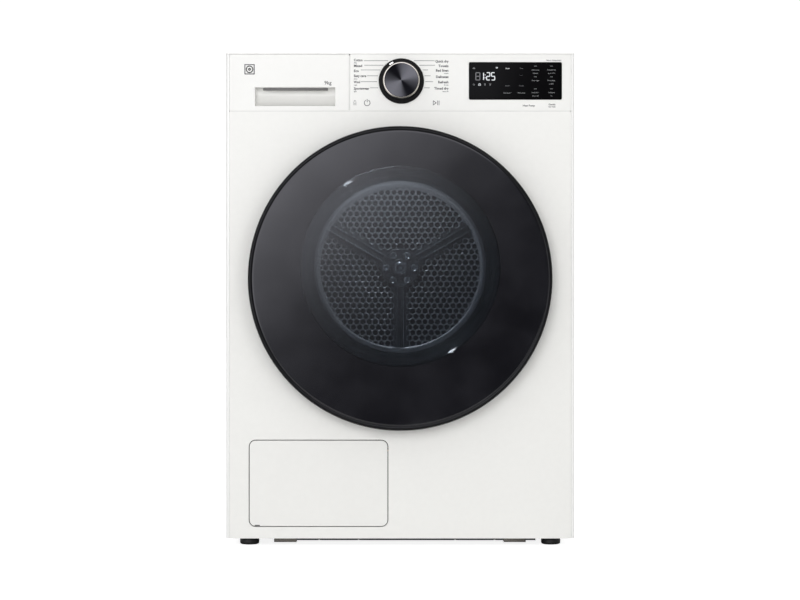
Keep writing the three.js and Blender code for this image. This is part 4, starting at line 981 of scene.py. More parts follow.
class DRYER_OT_rear(bpy.types.Operator):
    """Details the rear panel, its duct cover, screws and vents"""

    bl_idname = "dryer.rear"
    bl_label = "Rear"

    def execute(self, context):
        look = looks(current())
        belongs(refined("rear_panel", "rear_sheet", look["galvanised"], 0.0004), "cabinet", "galvanised",
                "rear_panel")
        cover = refined("rear_duct_cover", "duct_cover", look["galvanised"], 0.0022, 4, 25)
        belongs(cover, "cabinet", "galvanised", "rear_duct_cover")
        belongs(refined("power_inlet", "lead_gland", look["dark_moulding"], 0.0005), "cabinet",
                "dark_plastic", "power_inlet")
        turn = (0, 0, math.pi)
        y = REAR_Y + 0.0003
        places = []
        for x in (-HALF + 0.03, -0.14, 0.14, HALF - 0.03):
            for z in (0.03, TOP_Z - 0.03):
                places.append((Vector((x, y, z)), turn))
        for z in (0.2, 0.38, 0.56):
            for x in (-HALF + 0.03, HALF - 0.03):
                places.append((Vector((x, y, z)), turn))
        flange_r = 0.69 * DRUM_R + 6 * MM
        for x, z in arc(0, AXIS.z, flange_r, 0, 180, 6):
            places.append((Vector((x, REAR_Y + 0.0021, z)), turn))
        belongs(copies("rear_screws", screw_shape(), places, look["steel"]), "cabinet", "stainless")
        self.ribs(look)
        self.vents(look)
        return {"FINISHED"}

    def ribs(self, look):
        """Concentric stiffening beads on the duct cover."""
        rise = CAD_BOX[1].y
        parts = []
        for r in (0.055, 0.10, 0.145):
            ring = [(r - 0.004, rise - 0.0008), (r - 0.002, rise + 0.0012), (r + 0.002, rise + 0.0012),
                    (r + 0.004, rise - 0.0008)]
            parts.append(lathe(f"bead_{r}", ring, AXIS, 96, look["galvanised"]))
        belongs(merged("duct_beads", parts), "cabinet", "galvanised")

    def vents(self, look):
        """Rows of pressed louvres beside the gland."""
        bm = bmesh.new()
        w, h, d = 0.018, 0.0022, 0.003
        ring = [(-w, 0, -h), (w, 0, -h), (w, 0, h), (-w, 0, h)]
        crest = [(-w + 0.002, d, -h * 0.2), (w - 0.002, d, -h * 0.2), (w - 0.002, d * 0.6, h * 0.8),
                 (-w + 0.002, d * 0.6, h * 0.8)]
        low = [bm.verts.new(p) for p in ring]
        top = [bm.verts.new(p) for p in crest]
        bm.faces.new(low)
        bm.faces.new(top)
        for i in range(4):
            j = (i + 1) % 4
            bm.faces.new((low[i], low[j], top[j], top[i]))
        bmesh.ops.recalc_face_normals(bm, faces=bm.faces)
        mesh = bpy.data.meshes.new("louvre")
        bm.to_mesh(mesh)
        bm.free()
        places = []
        for column in (-0.22, -0.175):
            for i in range(9):
                places.append((Vector((column, REAR_Y, TOP_Z - 0.06 - 0.009 * i)), (0, 0, 0)))
        belongs(copies("louvres", mesh_object("louvre", mesh), places, look["galvanised"]), "cabinet",
                "galvanised")


# ---------------------------------------------------------------- door

class DRYER_OT_door(bpy.types.Operator):
    """Makes the round door: ring, tinted disc, tunnel, glass bowl, seal and hinge"""

    bl_idname = "dryer.door"
    bl_label = "Door"

    def execute(self, context):
        look = looks(current())
        self.rim(look)
        self.disc(look)
        self.liner(look)
        self.bowl(look)
        self.seal(look)
        belongs(refined("door_hinge_leaf", "hinge_leaf", look["steel"], 0.0006), "door", "stainless",
                "door_hinge_leaf")
        belongs(refined("door_hook", "catch_hook", look["dark_moulding"], 0.0005), "door", "dark_plastic",
                "door_hook")
        belongs(refined("hinge_bracket", "hinge_arms", look["steel"], 0.0005), "cabinet", "stainless",
                "hinge_bracket")
        belongs(refined("door_catch", "catch_box", look["dark_moulding"], 0.0005), "cabinet", "dark_plastic",
                "door_catch")
        return {"FINISHED"}

    def rim(self, look):
        """The black rim: a fine lip round the disc, a straight side, and a taper back to the panel."""
        r, y, f = DOOR_R, DOOR_Y, FRONT_Y
        profile = [
            (r - 0.007, y + 0.0013), (r - 0.0055, y + 0.0006), (r - 0.004, y + 0.0004),
            (r - 0.0025, y + 0.001),
            (r - 0.0013, y + 0.0022), (r - 0.0004, y + 0.004), (r, y + 0.006), (r, f - 0.029),
            (r - 0.0006, f - 0.0272),
            (r - 0.025, f - 0.0054), (r - 0.0265, f - 0.0045), (r - 0.038, f - 0.0045),
            (r - 0.038, f - 0.0075),
            (r - 0.028, f - 0.0075), (r - 0.0045, f - 0.0285), (r - 0.0045, y + 0.007),
            (r - 0.012, y + 0.007), (r - 0.012, y + 0.0044), (r - 0.007, y + 0.0044),
        ]
        ring = lathe("door_rim", profile, Vector((0, 0, DOOR_Z)), 192, look["ring_black"])
        bm = bmesh.new()
        box_mesh(bm, (THROAT_R + 0.0145, f - 0.0275, DOOR_Z - 0.05), (r + 0.01, f + 0.001, DOOR_Z + 0.05))
        cutter = from_bmesh("rim_notch", bm, look["ring_black"])
        mod = ring.modifiers.new("notch", "BOOLEAN")
        mod.operation = "DIFFERENCE"
        mod.solver = "EXACT"
        mod.object = cutter
        applied(ring)
        bpy.data.objects.remove(cutter)
        smooth(ring)
        belongs(ring, "door", "black_gloss", "door_ring")

    def disc(self, look):
        r, y = DOOR_R - 7.3 * MM, DOOR_Y
        profile = [(0, y), (0.2 * r, y + 0.00005), (0.4 * r, y + 0.0002), (0.6 * r, y + 0.00045),
                   (0.8 * r, y + 0.0008), (0.93 * r, y + 0.0011), (r - 0.0032, y + 0.00128),
                   (r - 0.002, y + 0.0013), (r - 0.0008, y + 0.00145), (r - 0.0002, y + 0.0017),
                   (r, y + 0.002), (r, y + 0.0041), (0, y + 0.0041)]
        piece = lathe("door_disc", profile, Vector((0, 0, DOOR_Z)), 192, look["door_screen"])
        belongs(piece, "door", "tinted_screen", "door_screen")

    def liner(self, look):
        """The inner plate with the tunnel from the disc to the glass, and a row of shallow steps in it."""
        r, y0, y1 = BOWL_R, FRONT_Y - 0.0073, FRONT_Y - 0.0043
        edge = DOOR_R - 0.0385
        profile = [
            (r + 0.006, DOOR_Y + 0.0046), (r + 0.0068, DOOR_Y + 0.0044), (r + 0.0085, DOOR_Y + 0.0046),
            (r + 0.0085, y0 - 0.004), (r + 0.011, y0), (edge - 0.001, y0), (edge, y0 + 0.001),
            (edge, y1 - 0.0008),
            (edge - 0.001, y1), (r + 0.034, y1), (r + 0.033, y1 - 0.0007), (r + 0.028, y1 - 0.0007),
            (r + 0.027, y1), (r + 0.007, y1), (r + 0.006, y1 - 0.001),
        ]
        steps = 14
        for i in range(1, steps):
            y = y1 - 0.001 + (DOOR_Y + 0.0056 - y1) * i / steps
            profile += [(r + 0.006, y + 0.0006), (r + 0.0065, y + 0.0002), (r + 0.006, y - 0.0002)]
        piece = lathe("door_liner", profile, AXIS, 144, look["inner_grey"])
        belongs(piece, "door", "grey_plastic", "door_inner")

    def bowl(self, look):
        r, f = BOWL_R, FRONT_Y
        deep = BOWL_HIGH.y
        inner = [(0, deep - 0.0045), (r - 0.034, deep - 0.0042), (r - 0.027, deep - 0.005),
                 (r - 0.0225, deep - 0.0085), (r - 0.0195, deep - 0.014)]
        for k in (0.10, 0.24, 0.38, 0.52, 0.66, 0.80, 0.92):
            y = deep - 0.014 + (f - 0.004 - deep + 0.014) * k
            radius = r - 0.0195 + 0.015 * k
            inner += [(radius - 0.0001, y + 0.0042), (radius - 0.0016, y + 0.0014),
                      (radius - 0.0016, y - 0.0014), (radius + 0.0005, y - 0.0042)]
        inner += [(r - 0.0045, f - 0.004)]
        outer = [(r + 0.012, f - 0.004), (r + 0.012, f - 0.0012), (r + 0.0005, f - 0.0012),
                 (r - 0.0152, deep - 0.013), (r - 0.018, deep - 0.006), (r - 0.0235, deep - 0.0012),
                 (r - 0.030, deep), (0, deep)]
        piece = lathe("glass_bowl", inner + outer, AXIS, 128, look["bowl_glass"])
        belongs(piece, "door", "bowl_glass", "door_bowl")

    def seal(self, look):
        r, y0, y1 = THROAT_R, FRONT_Y - 0.004, FRONT_Y - 0.0003
        profile = [(r + 0.006, y0), (r + 0.014, y0), (r + 0.014, y1 - 0.0012), (r + 0.0125, y1),
                   (r + 0.011, y1 - 0.001), (r + 0.0095, y1), (r + 0.0075, y1), (r + 0.006, y1 - 0.0012)]
        belongs(lathe("lip_seal", profile, AXIS, 128, look["seal"]), "door", "seal_grey", "door_seal")


# ---------------------------------------------------------------- drum

class DRYER_OT_drum(bpy.types.Operator):
    """Makes the drum: perforated back with its arms, wall, lifters and rollers"""

    bl_idname = "dryer.drum"
    bl_label = "Drum"

    def execute(self, context):
        look = looks(current())
        shell = self.wall(look)
        belongs(shell, "drum", "stainless", "drum_shell")
        self.back(look)
        for i in (1, 2, 3):
            belongs(refined(f"drum_lifter_{i}", f"lifter_{i}", look["lifter_grey"], 0.004, 3), "drum",
                    "grey_plastic", f"drum_lifter_{i}")
        for word in ("left", "right"):
            belongs(refined(f"drum_roller_{word}", f"roller_{word}", look["dark_moulding"], 0.0004),
                    f"roller_{word}", "dark_plastic", f"drum_roller_{word}")
        return {"FINISHED"}

    def wall(self, look):
        y0, y1, t, r = DRUM_LOW.y, DRUM_HIGH.y, 0.0012, DRUM_R
        lip = r - 0.032
        profile = [(lip, y0), (r - 0.006, y0), (r - 0.0018, y0 + 0.0018), (r, y0 + 0.006), (r, y1),
                   (r - t, y1),
                   (r - t, y0 + 0.006), (r - 0.0026, y0 + 0.0028), (r - 0.006, y0 + t), (lip + t, y0 + t),
                   (lip + t, y0 + 0.009), (lip, y0 + 0.009)]
        return lathe("drum_wall", profile, AXIS, 144, look["drum_sheet"])

    def back(self, look):
        """Perforated field, dished rim, three arms and the hub, all on one shaft."""
        pitch = current().hole_pitch
        y = BACK_Y
        cell = hole_cell(pitch, pitch * HOLE_SHARE)
        field = copies("hole_field", cell, self.hole_places(pitch), look["drum_back"], weld=0.00002)
        smooth(field, 50)
        rim = DRUM_R - 0.002
        dish = lathe("dish", [
            (0.545 * DRUM_R, y - 0.0004), (0.56 * DRUM_R, y - 0.0035), (0.575 * DRUM_R, y - 0.0035),
            (0.60 * DRUM_R, y + 0.004), (0.62 * DRUM_R, y + 0.006), (rim - 0.022, y + 0.006),
            (rim - 0.012, y - 0.002), (rim, y - 0.002), (rim, y), (rim - 0.011, y), (rim - 0.021, y + 0.008),
            (0.60 * DRUM_R, y + 0.008), (0.56 * DRUM_R, y - 0.0015), (0.545 * DRUM_R, y + 0.0015),
        ], AXIS, 144, look["drum_back"])
        # Painted shade: a near-black disc just behind the holes, standing in for the dark seen through them.
        backing = lathe("backing", [
            (0, y + 0.0042), (FIELD_R, y + 0.0042), (FIELD_R, y + 0.0052), (0, y + 0.0052),
        ], AXIS, 96, look["shadow"])
        parts = [field, dish, self.hub(y, look), backing]
        parts += [self.web(angle, y, look) for angle in ARM_ANGLES]
        for angle in ARM_ANGLES:
            parts += self.arm(angle, y, look)
        parts += [self.bosses(y, look), self.hub_cap(y, look)]
        whole = merged("drum_disc", parts)
        smooth(whole, 40)
        belongs(whole, "drum", "stainless", "drum_back")

    def hole_places(self, pitch):
        """Rows of holes in the three sectors between the arms, clear of the arms and of the hub."""
        rows = int(FIELD_R / (pitch * ROW)) + 2
        half_sector = math.radians(60)
        places = []
        for sector in range(3):
            middle = math.radians(90 + 120 * sector)
            c, s = math.cos(middle), math.sin(middle)
            for row in range(2, rows + 1):
                for column in range(-rows - 2, rows + 3):
                    across = (column + (0.5 if row % 2 else 0)) * pitch
                    out = row * pitch * ROW
                    from_arm = out * math.sin(half_sector) - abs(across) * math.cos(half_sector)
                    from_axis = math.hypot(across, out)
                    if from_arm > ARM_CLEAR and HUB_CLEAR < from_axis <= FIELD_R - 2 * MM:
                        spot = Vector((out * c - across * s, BACK_Y, AXIS.z + out * s + across * c))
                        places.append((spot, (0, 0, 0)))
        return places

    def hub(self, y, look):
        """The dished hub, with the shaft behind it, in the shaded copy of the drum's steel."""
        return lathe("hub", [
            (0, y - 0.0108), (0.0040, y - 0.0108), (0.0062, y - 0.0112), (0.0082, y - 0.0104),
            (0.0095, y - 0.0072), (0.0118, y - 0.0066), (0.0132, y - 0.0090), (0.0152, y - 0.0094),
            (0.0170, y - 0.0086), (0.0186, y - 0.0052), (0.0225, y - 0.0046), (0.0330, y - 0.0040),
            (0.0360, y - 0.0052), (0.0378, y - 0.0046), (0.0390, y - 0.0005), (0.0390, y + 0.002),
            (0.009, y + 0.012), (0.009, REAR_Y - 0.001), (0, REAR_Y - 0.001),
        ], AXIS, 96, look["drum_plain"])

    def hub_cap(self, y, look):
        """The cap over the shaft's nut, bright in the lit copy of the drum's steel."""
        return lathe("hub_cap", [
            (0, y - 0.0116), (0.0030, y - 0.0116), (0.0036, y - 0.0098), (0.0062, y - 0.0098),
            (0.0070, y - 0.0118), (0.0092, y - 0.0122), (0.0112, y - 0.0112), (0.0136, y - 0.0082),
            (0.0148, y - 0.0046), (0.0150, y - 0.002), (0, y - 0.002),
        ], AXIS, 64, look["rail_steel"])

    def bosses(self, y, look):
        """Six hollow bosses round the hub, in the lit copy of the drum's steel."""
        boss = lathe("boss", [
            (0, -0.0006), (0.0036, -0.0006), (0.0042, -0.0040), (0.0052, -0.0046), (0.0066, -0.0036),
            (0.0074, -0.0006), (0.0076, 0.002), (0, 0.002),
        ], Vector((0, 0, 0)), 24, look["rail_steel"])
        places = []
        for i in range(6):
            turn = math.radians(60 * i)
            spot = Vector((BOSS_R * math.cos(turn), y - 0.0044, AXIS.z + BOSS_R * math.sin(turn)))
            places.append((spot, (0, 0, 0)))
        return copies("hub_bosses", boss, places, look["rail_steel"])

    def web(self, angle, y, look):
        """The plain sheet behind an arm, in the shaded copy of the drum's steel."""
        c, s = math.cos(math.radians(angle)), math.sin(math.radians(angle))
        flat = rounded(0.03, 0.56 * DRUM_R, -0.0185, 0.0185, 0.002, 2)
        outline = [(a * c - b * s, AXIS.z + a * s + b * c) for a, b in flat]
        return plate(f"web_{angle}", outline, y + 0.0026, y + 0.0034, look["drum_plain"])

    def arm(self, angle, y, look):
        """A pressed arm from the hub to the rim: two rails in the lit copy of the drum's steel, with a
        channel in its shaded copy between them, painted highlight and shade.
        """
        c, s = math.cos(math.radians(angle)), math.sin(math.radians(angle))
        rail = [(-0.0012, 0.002), (-0.0011, -0.0040), (-0.0005, -0.0050), (0.0005, -0.0050),
                (0.0011, -0.0040), (0.0012, 0.002)]
        bed = [(-0.0050, 0.0024), (-0.0050, -0.0012), (0.0050, -0.0012), (0.0050, 0.0024)]
        made = []
        for side, section, finish in ((-RAIL_OFF, rail, "rail_steel"), (RAIL_OFF, rail, "rail_steel"),
                                      (0.0, bed, "drum_plain")):
            bm = bmesh.new()
            rows = []
            for reach in (0.030, 0.545 * DRUM_R, 0.565 * DRUM_R):
                lift = 0.0 if reach < 0.56 * DRUM_R else 0.0022
                row = []
                for a, b in section:
                    off = a + side
                    row.append(bm.verts.new((reach * c - off * s, y + b + lift,
                                             AXIS.z + reach * s + off * c)))
                rows.append(row)
            for first, second in zip(rows, rows[1:]):
                for i in range(len(section)):
                    j = (i + 1) % len(section)
                    bm.faces.new((first[i], first[j], second[j], second[i]))
            bm.faces.new(rows[0])
            bm.faces.new(rows[-1])
            bmesh.ops.recalc_face_normals(bm, faces=bm.faces)
            made.append(from_bmesh(f"arm_{angle}_{len(made)}", bm, look[finish]))
        return made


# ---------------------------------------------------------------- control strip

class DRYER_OT_controls(bpy.types.Operator):
    """Makes the control strip: fascia, printing, display, tank front and water tank"""

    bl_idname = "dryer.controls"
    bl_label = "Controls"

    def execute(self, context):
        look = looks(current())
        strip = flat_faces(refined("control_fascia", "strip_fascia", look["white_gloss"], 0.0005, 3))
        belongs(strip, "cabinet", "white_plastic", "control_fascia")
        face = flat_faces(refined("tank_front", "tank_face", look["white_gloss"], 0.0007, 3, 30))
        belongs(face, "tank", "white_plastic", "tank_front")
        belongs(refined("tank_tub", "tank_body", look["tub_plastic"], 0.0012, 2), "tank", "tub_clear",
                "tank_tub")
        belongs(refined("tank_lid", "tank_cover", look["throat_grey"], 0.0005), "tank", "grey_plastic",
                "tank_lid")
        self.display(look)
        self.printing(look)
        self.capacity(look)
        return {"FINISHED"}

    def display(self, look):
        x0, x1, z0, z1 = GLASS_LOW.x, GLASS_HIGH.x, GLASS_LOW.z, GLASS_HIGH.z
        glass = plate("display_glass", rounded(x0, x1, z0, z1, 0.0026), FRONT_Y - 0.0002, GLASS_HIGH.y,
                      look["glass_black"], bevel=0.0003)
        belongs(glass, "cabinet", "display_glass", "display_window")
        y = FRONT_Y - 0.0003
        bright = []
        x, z, w, h = x0 + 0.0118, z0 + 0.0338, 0.0056, 0.0126
        for text, step in (("1", 0.0078), ("2", 0.0186), ("5", 0.0270)):
            bright += digit_lines(text, x + step, z, w, h)
        for level in (0.3, 0.7):
            bright.append([(x + 0.0160, z + h * level - 0.0003), (x + 0.0160, z + h * level + 0.0003)])
        faint = digit_lines("8", x, z, 0.0070, h)
        icons = self.icons(x0, z0)
        parts = [
            strokes("time_figures", bright, y, 0.0014, look["lit"]),
            strokes("time_ghost", faint, y + 0.00001, 0.0015, look["unlit"]),
            strokes("display_icons_lit", icons["lit"], y, 0.00055, look["lit"]),
            strokes("display_icons_soft", icons["soft"], y, 0.0005, look["lit_soft"]),
        ]
        words = [
            (0.0665, 0.0538, "Auto", "lit", 0.0024), (0.0905, 0.0538, "Time", "unlit", 0.0020),
            (0.0905, 0.0420, "- - - -", "lit_soft", 0.0018), (0.0665, 0.0240, "Level 1", "unlit", 0.0020),
            (0.0905, 0.0240, "30 min", "unlit", 0.0020), (0.0665, 0.0116, "Dry level +", "lit_soft", 0.0021),
            (0.0905, 0.0116, "More time", "lit_soft", 0.0021),
        ]
        columns = (
            (0.1145, ((0.0512, "Anti-crease"), (0.0455, "2 hours"), (0.0330, "Drum light"),
                      (0.0122, "Rack dry +"), (0.0065, "drum still"))),
            (0.1420, ((0.0512, "Delayed end"), (0.0455, "up to 19 h"), (0.0330, "Damp beep"),
                      (0.0272, "at 80%"), (0.0122, "Child lock"), (0.0065, "3 s"))),
        )
        for dx, rows in columns:
            for dz, text in rows:
                words.append((dx, dz, text, "lit_soft", 0.0020))
        for i, (dx, dz, text, finish, height) in enumerate(words):
            parts.append(lettering(f"display_word_{i}", text, x0 + dx, z0 + dz, y, height,
                                   look[finish], "CENTER", None, 0.0))
        belongs(merged("display_legend", parts), "cabinet", "display_glass")

    def icons(self, x0, z0):
        """Small signs: a hanger, a signal, a drop, a filter, a lamp and a lock."""
        lit, soft = [], []
        a, b = x0 + 0.0085, z0 + 0.0545
        soft += [[(a - 0.002, b - 0.0012), (a, b + 0.001), (a + 0.002, b - 0.0012), (a - 0.002, b - 0.0012)]]
        a = x0 + 0.048
        for r in (0.0009, 0.0018, 0.0027):
            lit.append(arc(a, b - 0.0014, r, 45, 135, 6))
        b = z0 + 0.0258
        a = x0 + 0.0085
        soft += [arc(a, b, 0.0013, 0, 360, 10)]
        a = x0 + 0.0182
        lit += [[(a - 0.0018, b - 0.0015), (a + 0.0018, b - 0.0015), (a + 0.0018, b + 0.0008),
                 (a - 0.0018, b + 0.0008), (a - 0.0018, b - 0.0015)], arc(a, b + 0.0008, 0.0012, 0, 180, 8)]
        for step in (0.0275, 0.0365):
            a = x0 + step
            soft += [[(a - 0.0014, b + 0.0014), (a + 0.0014, b + 0.0014), (a + 0.0004, b),
                      (a + 0.0004, b - 0.0014),
                      (a - 0.0004, b - 0.0014), (a - 0.0004, b), (a - 0.0014, b + 0.0014)]]
        for column in (0.1145, 0.142):
            for row in (0.0578, 0.0392, 0.0185):
                soft.append([(x0 + column - 0.0022, z0 + row), (x0 + column + 0.0022, z0 + row)])
        return {"lit": lit, "soft": soft}

    def printing(self, look):
        """Programme names in two columns with leader lines to the knob, and the touch signs."""
        y = FRONT_Y - 0.00008
        left = [(36.4, "Cotton", 15, 35.2, -62.3, -20.9), (26.5, "Mixed", 16, 27.4, -61.4, -28.7),
                (17.8, "Eco", 11, 19.3, -67.4, -33.9), (9.2, "Easy care", 21, 9.2, -57.1, -38.4),
                (-1.4, "Wool", 11, -0.9, -67.4, -39.9), (-12.5, "Sportswear", 27, -11.5, -51.1, -38.2)]
        right = [(34.3, "Quick dry", 23, 35.2, 23.9, 59.2), (26.3, "Towels", 22, 27.4, 33.3, 60.0),
                 (18.5, "Bed linen", 34, 19.3, 39.4, 48.0), (7.6, "Delicates", 30, 9.2, 42.2, 52.3),
                 (-1.6, "Refresh", 25, -0.9, 43.7, 56.6), (-12.4, "Timed dry", 31, -11.5, 41.6, 50.9)]
        parts, lines = [], []
        for side, rows, edge in (("LEFT", left, -81.9), ("RIGHT", right, 81.3)):
            for i, (dz, word, width, lz, lx0, lx1) in enumerate(rows):
                z = KNOB.z + dz * MM
                parts.append(lettering(f"word_{side}_{i}", word, KNOB.x + edge * MM, z, y, 4.1 * MM,
                                       look["legend"], side, width * MM, 0.045))
                lines.append([(KNOB.x + (lx0 - 2.2) * MM, KNOB.z + lz * MM),
                              (KNOB.x + (lx1 - 2.2) * MM, KNOB.z + lz * MM)])
        for side, edge, rows in (("LEFT", -81.9, ((31.7, "daily"), (3.9, "shirts"), (-6.6, "wash"),
                                                  (-17.6, "light"))),
                                 ("RIGHT", 81.3, ((13.5, "cotton"), (-6.6, "20 min"), (-17.7, "warm air")))):
            for i, (dz, word) in enumerate(rows):
                parts.append(lettering(f"note_{side}_{i}", word, KNOB.x + edge * MM, KNOB.z + dz * MM, y,
                                       2.0 * MM, look["legend_soft"], side, None, 0.04))
        right = GLASS_HIGH.x
        for i, (x, z, text, height, align) in enumerate((
            (right - 1.0 * MM, GLASS_HIGH.z + 3.6 * MM, "Sensor drying system", 2.1 * MM, "RIGHT"),
            (right - 57.0 * MM, GLASS_LOW.z - 10.2 * MM, "Heat Pump", 3.2 * MM, "CENTER"),
            (right - 17.0 * MM, GLASS_LOW.z - 8.3 * MM, "Gentle", 3.0 * MM, "CENTER"),
            (right - 17.0 * MM, GLASS_LOW.z - 12.2 * MM, "low heat", 2.4 * MM, "CENTER"),
        )):
            parts.append(lettering(f"strip_note_{i}", text, x, z, y, height, look["legend"], align, None,
                                   0.03))
        parts.append(strokes("leaders", lines, y, 0.00085, look["legend_soft"]))
        low = KNOB.z - 37.4 * MM
        a, r = KNOB.x - 58.8 * MM, 4.9 * MM
        signs = [arc(a, low, r, 118, 422, 28), [(a, low + 1.2 * MM), (a, low + 6.2 * MM)]]
        a = KNOB.x + 59.6 * MM
        signs += [[(a - 4.6 * MM, low - 3.6 * MM), (a - 4.6 * MM, low + 3.6 * MM), (a + 0.6 * MM, low),
                   (a - 4.6 * MM, low - 3.6 * MM)],
                  [(a + 3.0 * MM, low - 3.6 * MM), (a + 3.0 * MM, low + 3.6 * MM)],
                  [(a + 5.4 * MM, low - 3.6 * MM), (a + 5.4 * MM, low + 3.6 * MM)]]
        a = KNOB.x - 80.0 * MM
        small = [[(a - 1.9 * MM, low - 1.4 * MM), (a + 1.9 * MM, low - 1.4 * MM),
                  (a + 1.9 * MM, low + 1.8 * MM),
                  (a - 1.9 * MM, low + 1.8 * MM), (a - 1.9 * MM, low - 1.4 * MM)],
                 [(a - 2.6 * MM, low - 3.4 * MM), (a + 2.6 * MM, low - 3.4 * MM)],
                 arc(a, low + 2.6 * MM, 1.7 * MM, 40, 140, 8)]
        parts.append(strokes("touch_signs", signs, y, 0.0011, look["legend_soft"]))
        parts.append(strokes("remote_sign", small, y, 0.0006, look["legend_soft"]))
        belongs(merged("strip_printing", parts), "cabinet", "white_plastic")

    def capacity(self, look):
        """The load printed on the tank's face, a drying sign, and the painted shade of the slot under the
        grip's lip.
        """
        y = FRONT_Y - 0.00008
        mark = lettering("load", "9kg", KNOB.x - 126.5 * MM, KNOB.z - 2.6 * MM, y, 6.2 * MM, look["legend"],
                         "CENTER", None, 0.02)
        x, z, a = TANK_LOW.x + 35.0 * MM, TANK_HIGH.z - 26.0 * MM, 8.0 * MM
        square = [(x - a, z - a), (x + a, z - a), (x + a, z + a), (x - a, z + a), (x - a, z - a)]
        sign = strokes("sign", [square, arc(x, z, a * 0.7, 0, 360, 32), arc(x, z, a * 0.2, 0, 360, 12)], y,
                       0.0018, look["legend_soft"])
        belongs(merged("load_mark", [mark, sign]), "tank", "white_plastic")
        z = KNOB.z - 12.6 * MM
        x0, x1 = TANK_LOW.x + 58.0 * MM, TANK_HIGH.x - 36.5 * MM
        # Painted shade: a dark bar in the grip's recess, standing in for the shade in the slot under its top
        # lip.
        lip = plate("grip_lip", rounded(x0, x1, z - 3.4 * MM, z + 1.2 * MM, 1.2 * MM), FRONT_Y + 0.0035,
                    FRONT_Y + 0.0055, look["slot_grey"], bevel=0.0004)
        belongs(lip, "tank", "white_plastic")


class DRYER_OT_knob(bpy.types.Operator):
    """Makes the programme knob: knurled skirt, grip, bright chamfer, spun face and marker"""

    bl_idname = "dryer.knob"
    bl_label = "Knob"

    def execute(self, context):
        look = looks(current())
        y = SKIRT_HIGH.y
        r = KNOB_R
        skirt = lathe("skirt_disc", [
            (0.0054, y), (r - 0.0008, y), (r, y - 0.0008), (r, y - 0.0026), (r - 0.0012, y - 0.0036),
            (r - 0.0022, y - 0.0038), (0.0054, y - 0.0038),
        ], KNOB, 128, look["knob_skirt"])
        rib = self.rib()
        count = current().knurls
        places = []
        for i in range(count):
            turn = 2 * math.pi * i / count
            place = Vector((KNOB.x + (r - 0.0038) * math.cos(turn), y - 0.0038,
                            KNOB.z + (r - 0.0038) * math.sin(turn)))
            places.append((place, (0, -turn + math.radians(38), 0)))
        ribs = copies("knurls", rib, places, look["knob_skirt"], 0.9)
        belongs(merged("knob_collar", [skirt, ribs]), "knob", "knob_dark", "knob_skirt")
        self.marker(look, y)
        self.grip(look)
        return {"FINISHED"}

    def rib(self):
        """One slanted rib, rounded on top."""
        bm = bmesh.new()
        l, w, h = 0.0034, 0.0006, 0.00012
        section = [(-w, 0.0002), (-w, -h * 0.5), (-w * 0.5, -h), (w * 0.5, -h), (w, -h * 0.5), (w, 0.0002)]
        ends = [[bm.verts.new((x, b, a)) for a, b in section] for x in (-l, l)]
        for i in range(len(section)):
            j = (i + 1) % len(section)
            bm.faces.new((ends[0][i], ends[0][j], ends[1][j], ends[1][i]))
        bm.faces.new(ends[0])
        bm.faces.new(ends[1])
        bmesh.ops.recalc_face_normals(bm, faces=bm.faces)
        mesh = bpy.data.meshes.new("rib")
        bm.to_mesh(mesh)
        bm.free()
        return mesh_object("rib", mesh)

    def marker(self, look, y):
        """The lit bar that stands at the chosen programme."""
        turn = math.radians(119.5)
        reach = KNOB_R - 0.0042
        c, s = math.cos(turn), math.sin(turn)
        outline = [(reach * c + (a * c - b * s), reach * s + (a * s + b * c))
                   for a, b in rounded(-0.00115, 0.00115, -0.0038, 0.0038, 0.0005, 3)]
        outline = [(KNOB.x + x, KNOB.z + z) for x, z in outline]
        bar = plate("marker_bar", outline, y - 0.0046, y - 0.0034, look["marker"], bevel=0.0001)
        belongs(bar, "knob", "knob_trim")

    def grip(self, look):
        low, high = span("knob_grip")
        r = (high.x - low.x) / 2
        front, back = low.y, span("knob_skirt")[0].y - 0.0003
        grip = lathe("knob_barrel", [
            (0, front), (r - 0.0003, front), (r, front + 0.0004), (r, back - 0.001), (r - 0.001, back),
            (0.005, back), (0.005, high.y), (0, high.y),
        ], KNOB, 128, look["knob_side"])
        belongs(grip, "knob", "knob_dark", "knob_grip")
        low, high = span("knob_trim")
        face = r - 0.0023
        ring = lathe("knob_chamfer", [
            (face + 0.0002, high.y), (r, high.y), (r, high.y - 0.0008), (r - 0.0003, high.y - 0.0012),
            (face + 0.0010, low.y + 0.0001), (face + 0.0005, low.y), (face + 0.0002, low.y + 0.0002),
        ], KNOB, 128, look["champagne"])
        belongs(ring, "knob", "knob_trim", "knob_trim")
        low, high = span("knob_cap")
        cap = lathe("knob_face", [
            (0, high.y), (face, high.y), (face, low.y + 0.0004), (face - 0.0004, low.y),
            (face * 0.6, low.y + 0.0004), (0, low.y + 0.0006),
        ], KNOB, 128, look["knob_face"])
        belongs(cap, "knob", "knob_dark", "knob_cap")


# ---------------------------------------------------------------- hatch and inner pieces

class DRYER_OT_hatch(bpy.types.Operator):
    """Makes the service hatch, with the painted shade of its prising notch"""

    bl_idname = "dryer.hatch"
    bl_label = "Hatch"

    def execute(self, context):
        look = looks(current())
        panel = flat_faces(refined("maintenance_hatch", "hatch_panel", look["hatch_white"], 0.0007, 3))
        belongs(panel, "hatch", "white_plastic", "maintenance_hatch")
        x, z = HATCH_LOW.x + 0.0135, HATCH_LOW.z + 0.0012
        # Painted shade: a thin dark plate at the prising notch, standing in for the shade inside it.
        notch = plate("prising_notch", rounded(x - 0.0045, x + 0.0045, z - 0.0008, z + 0.0010, 0.0007, 3),
                      FRONT_Y - 0.0001, FRONT_Y + 0.0006, look["shadow"])
        belongs(notch, "hatch", "white_plastic")
        return {"FINISHED"}


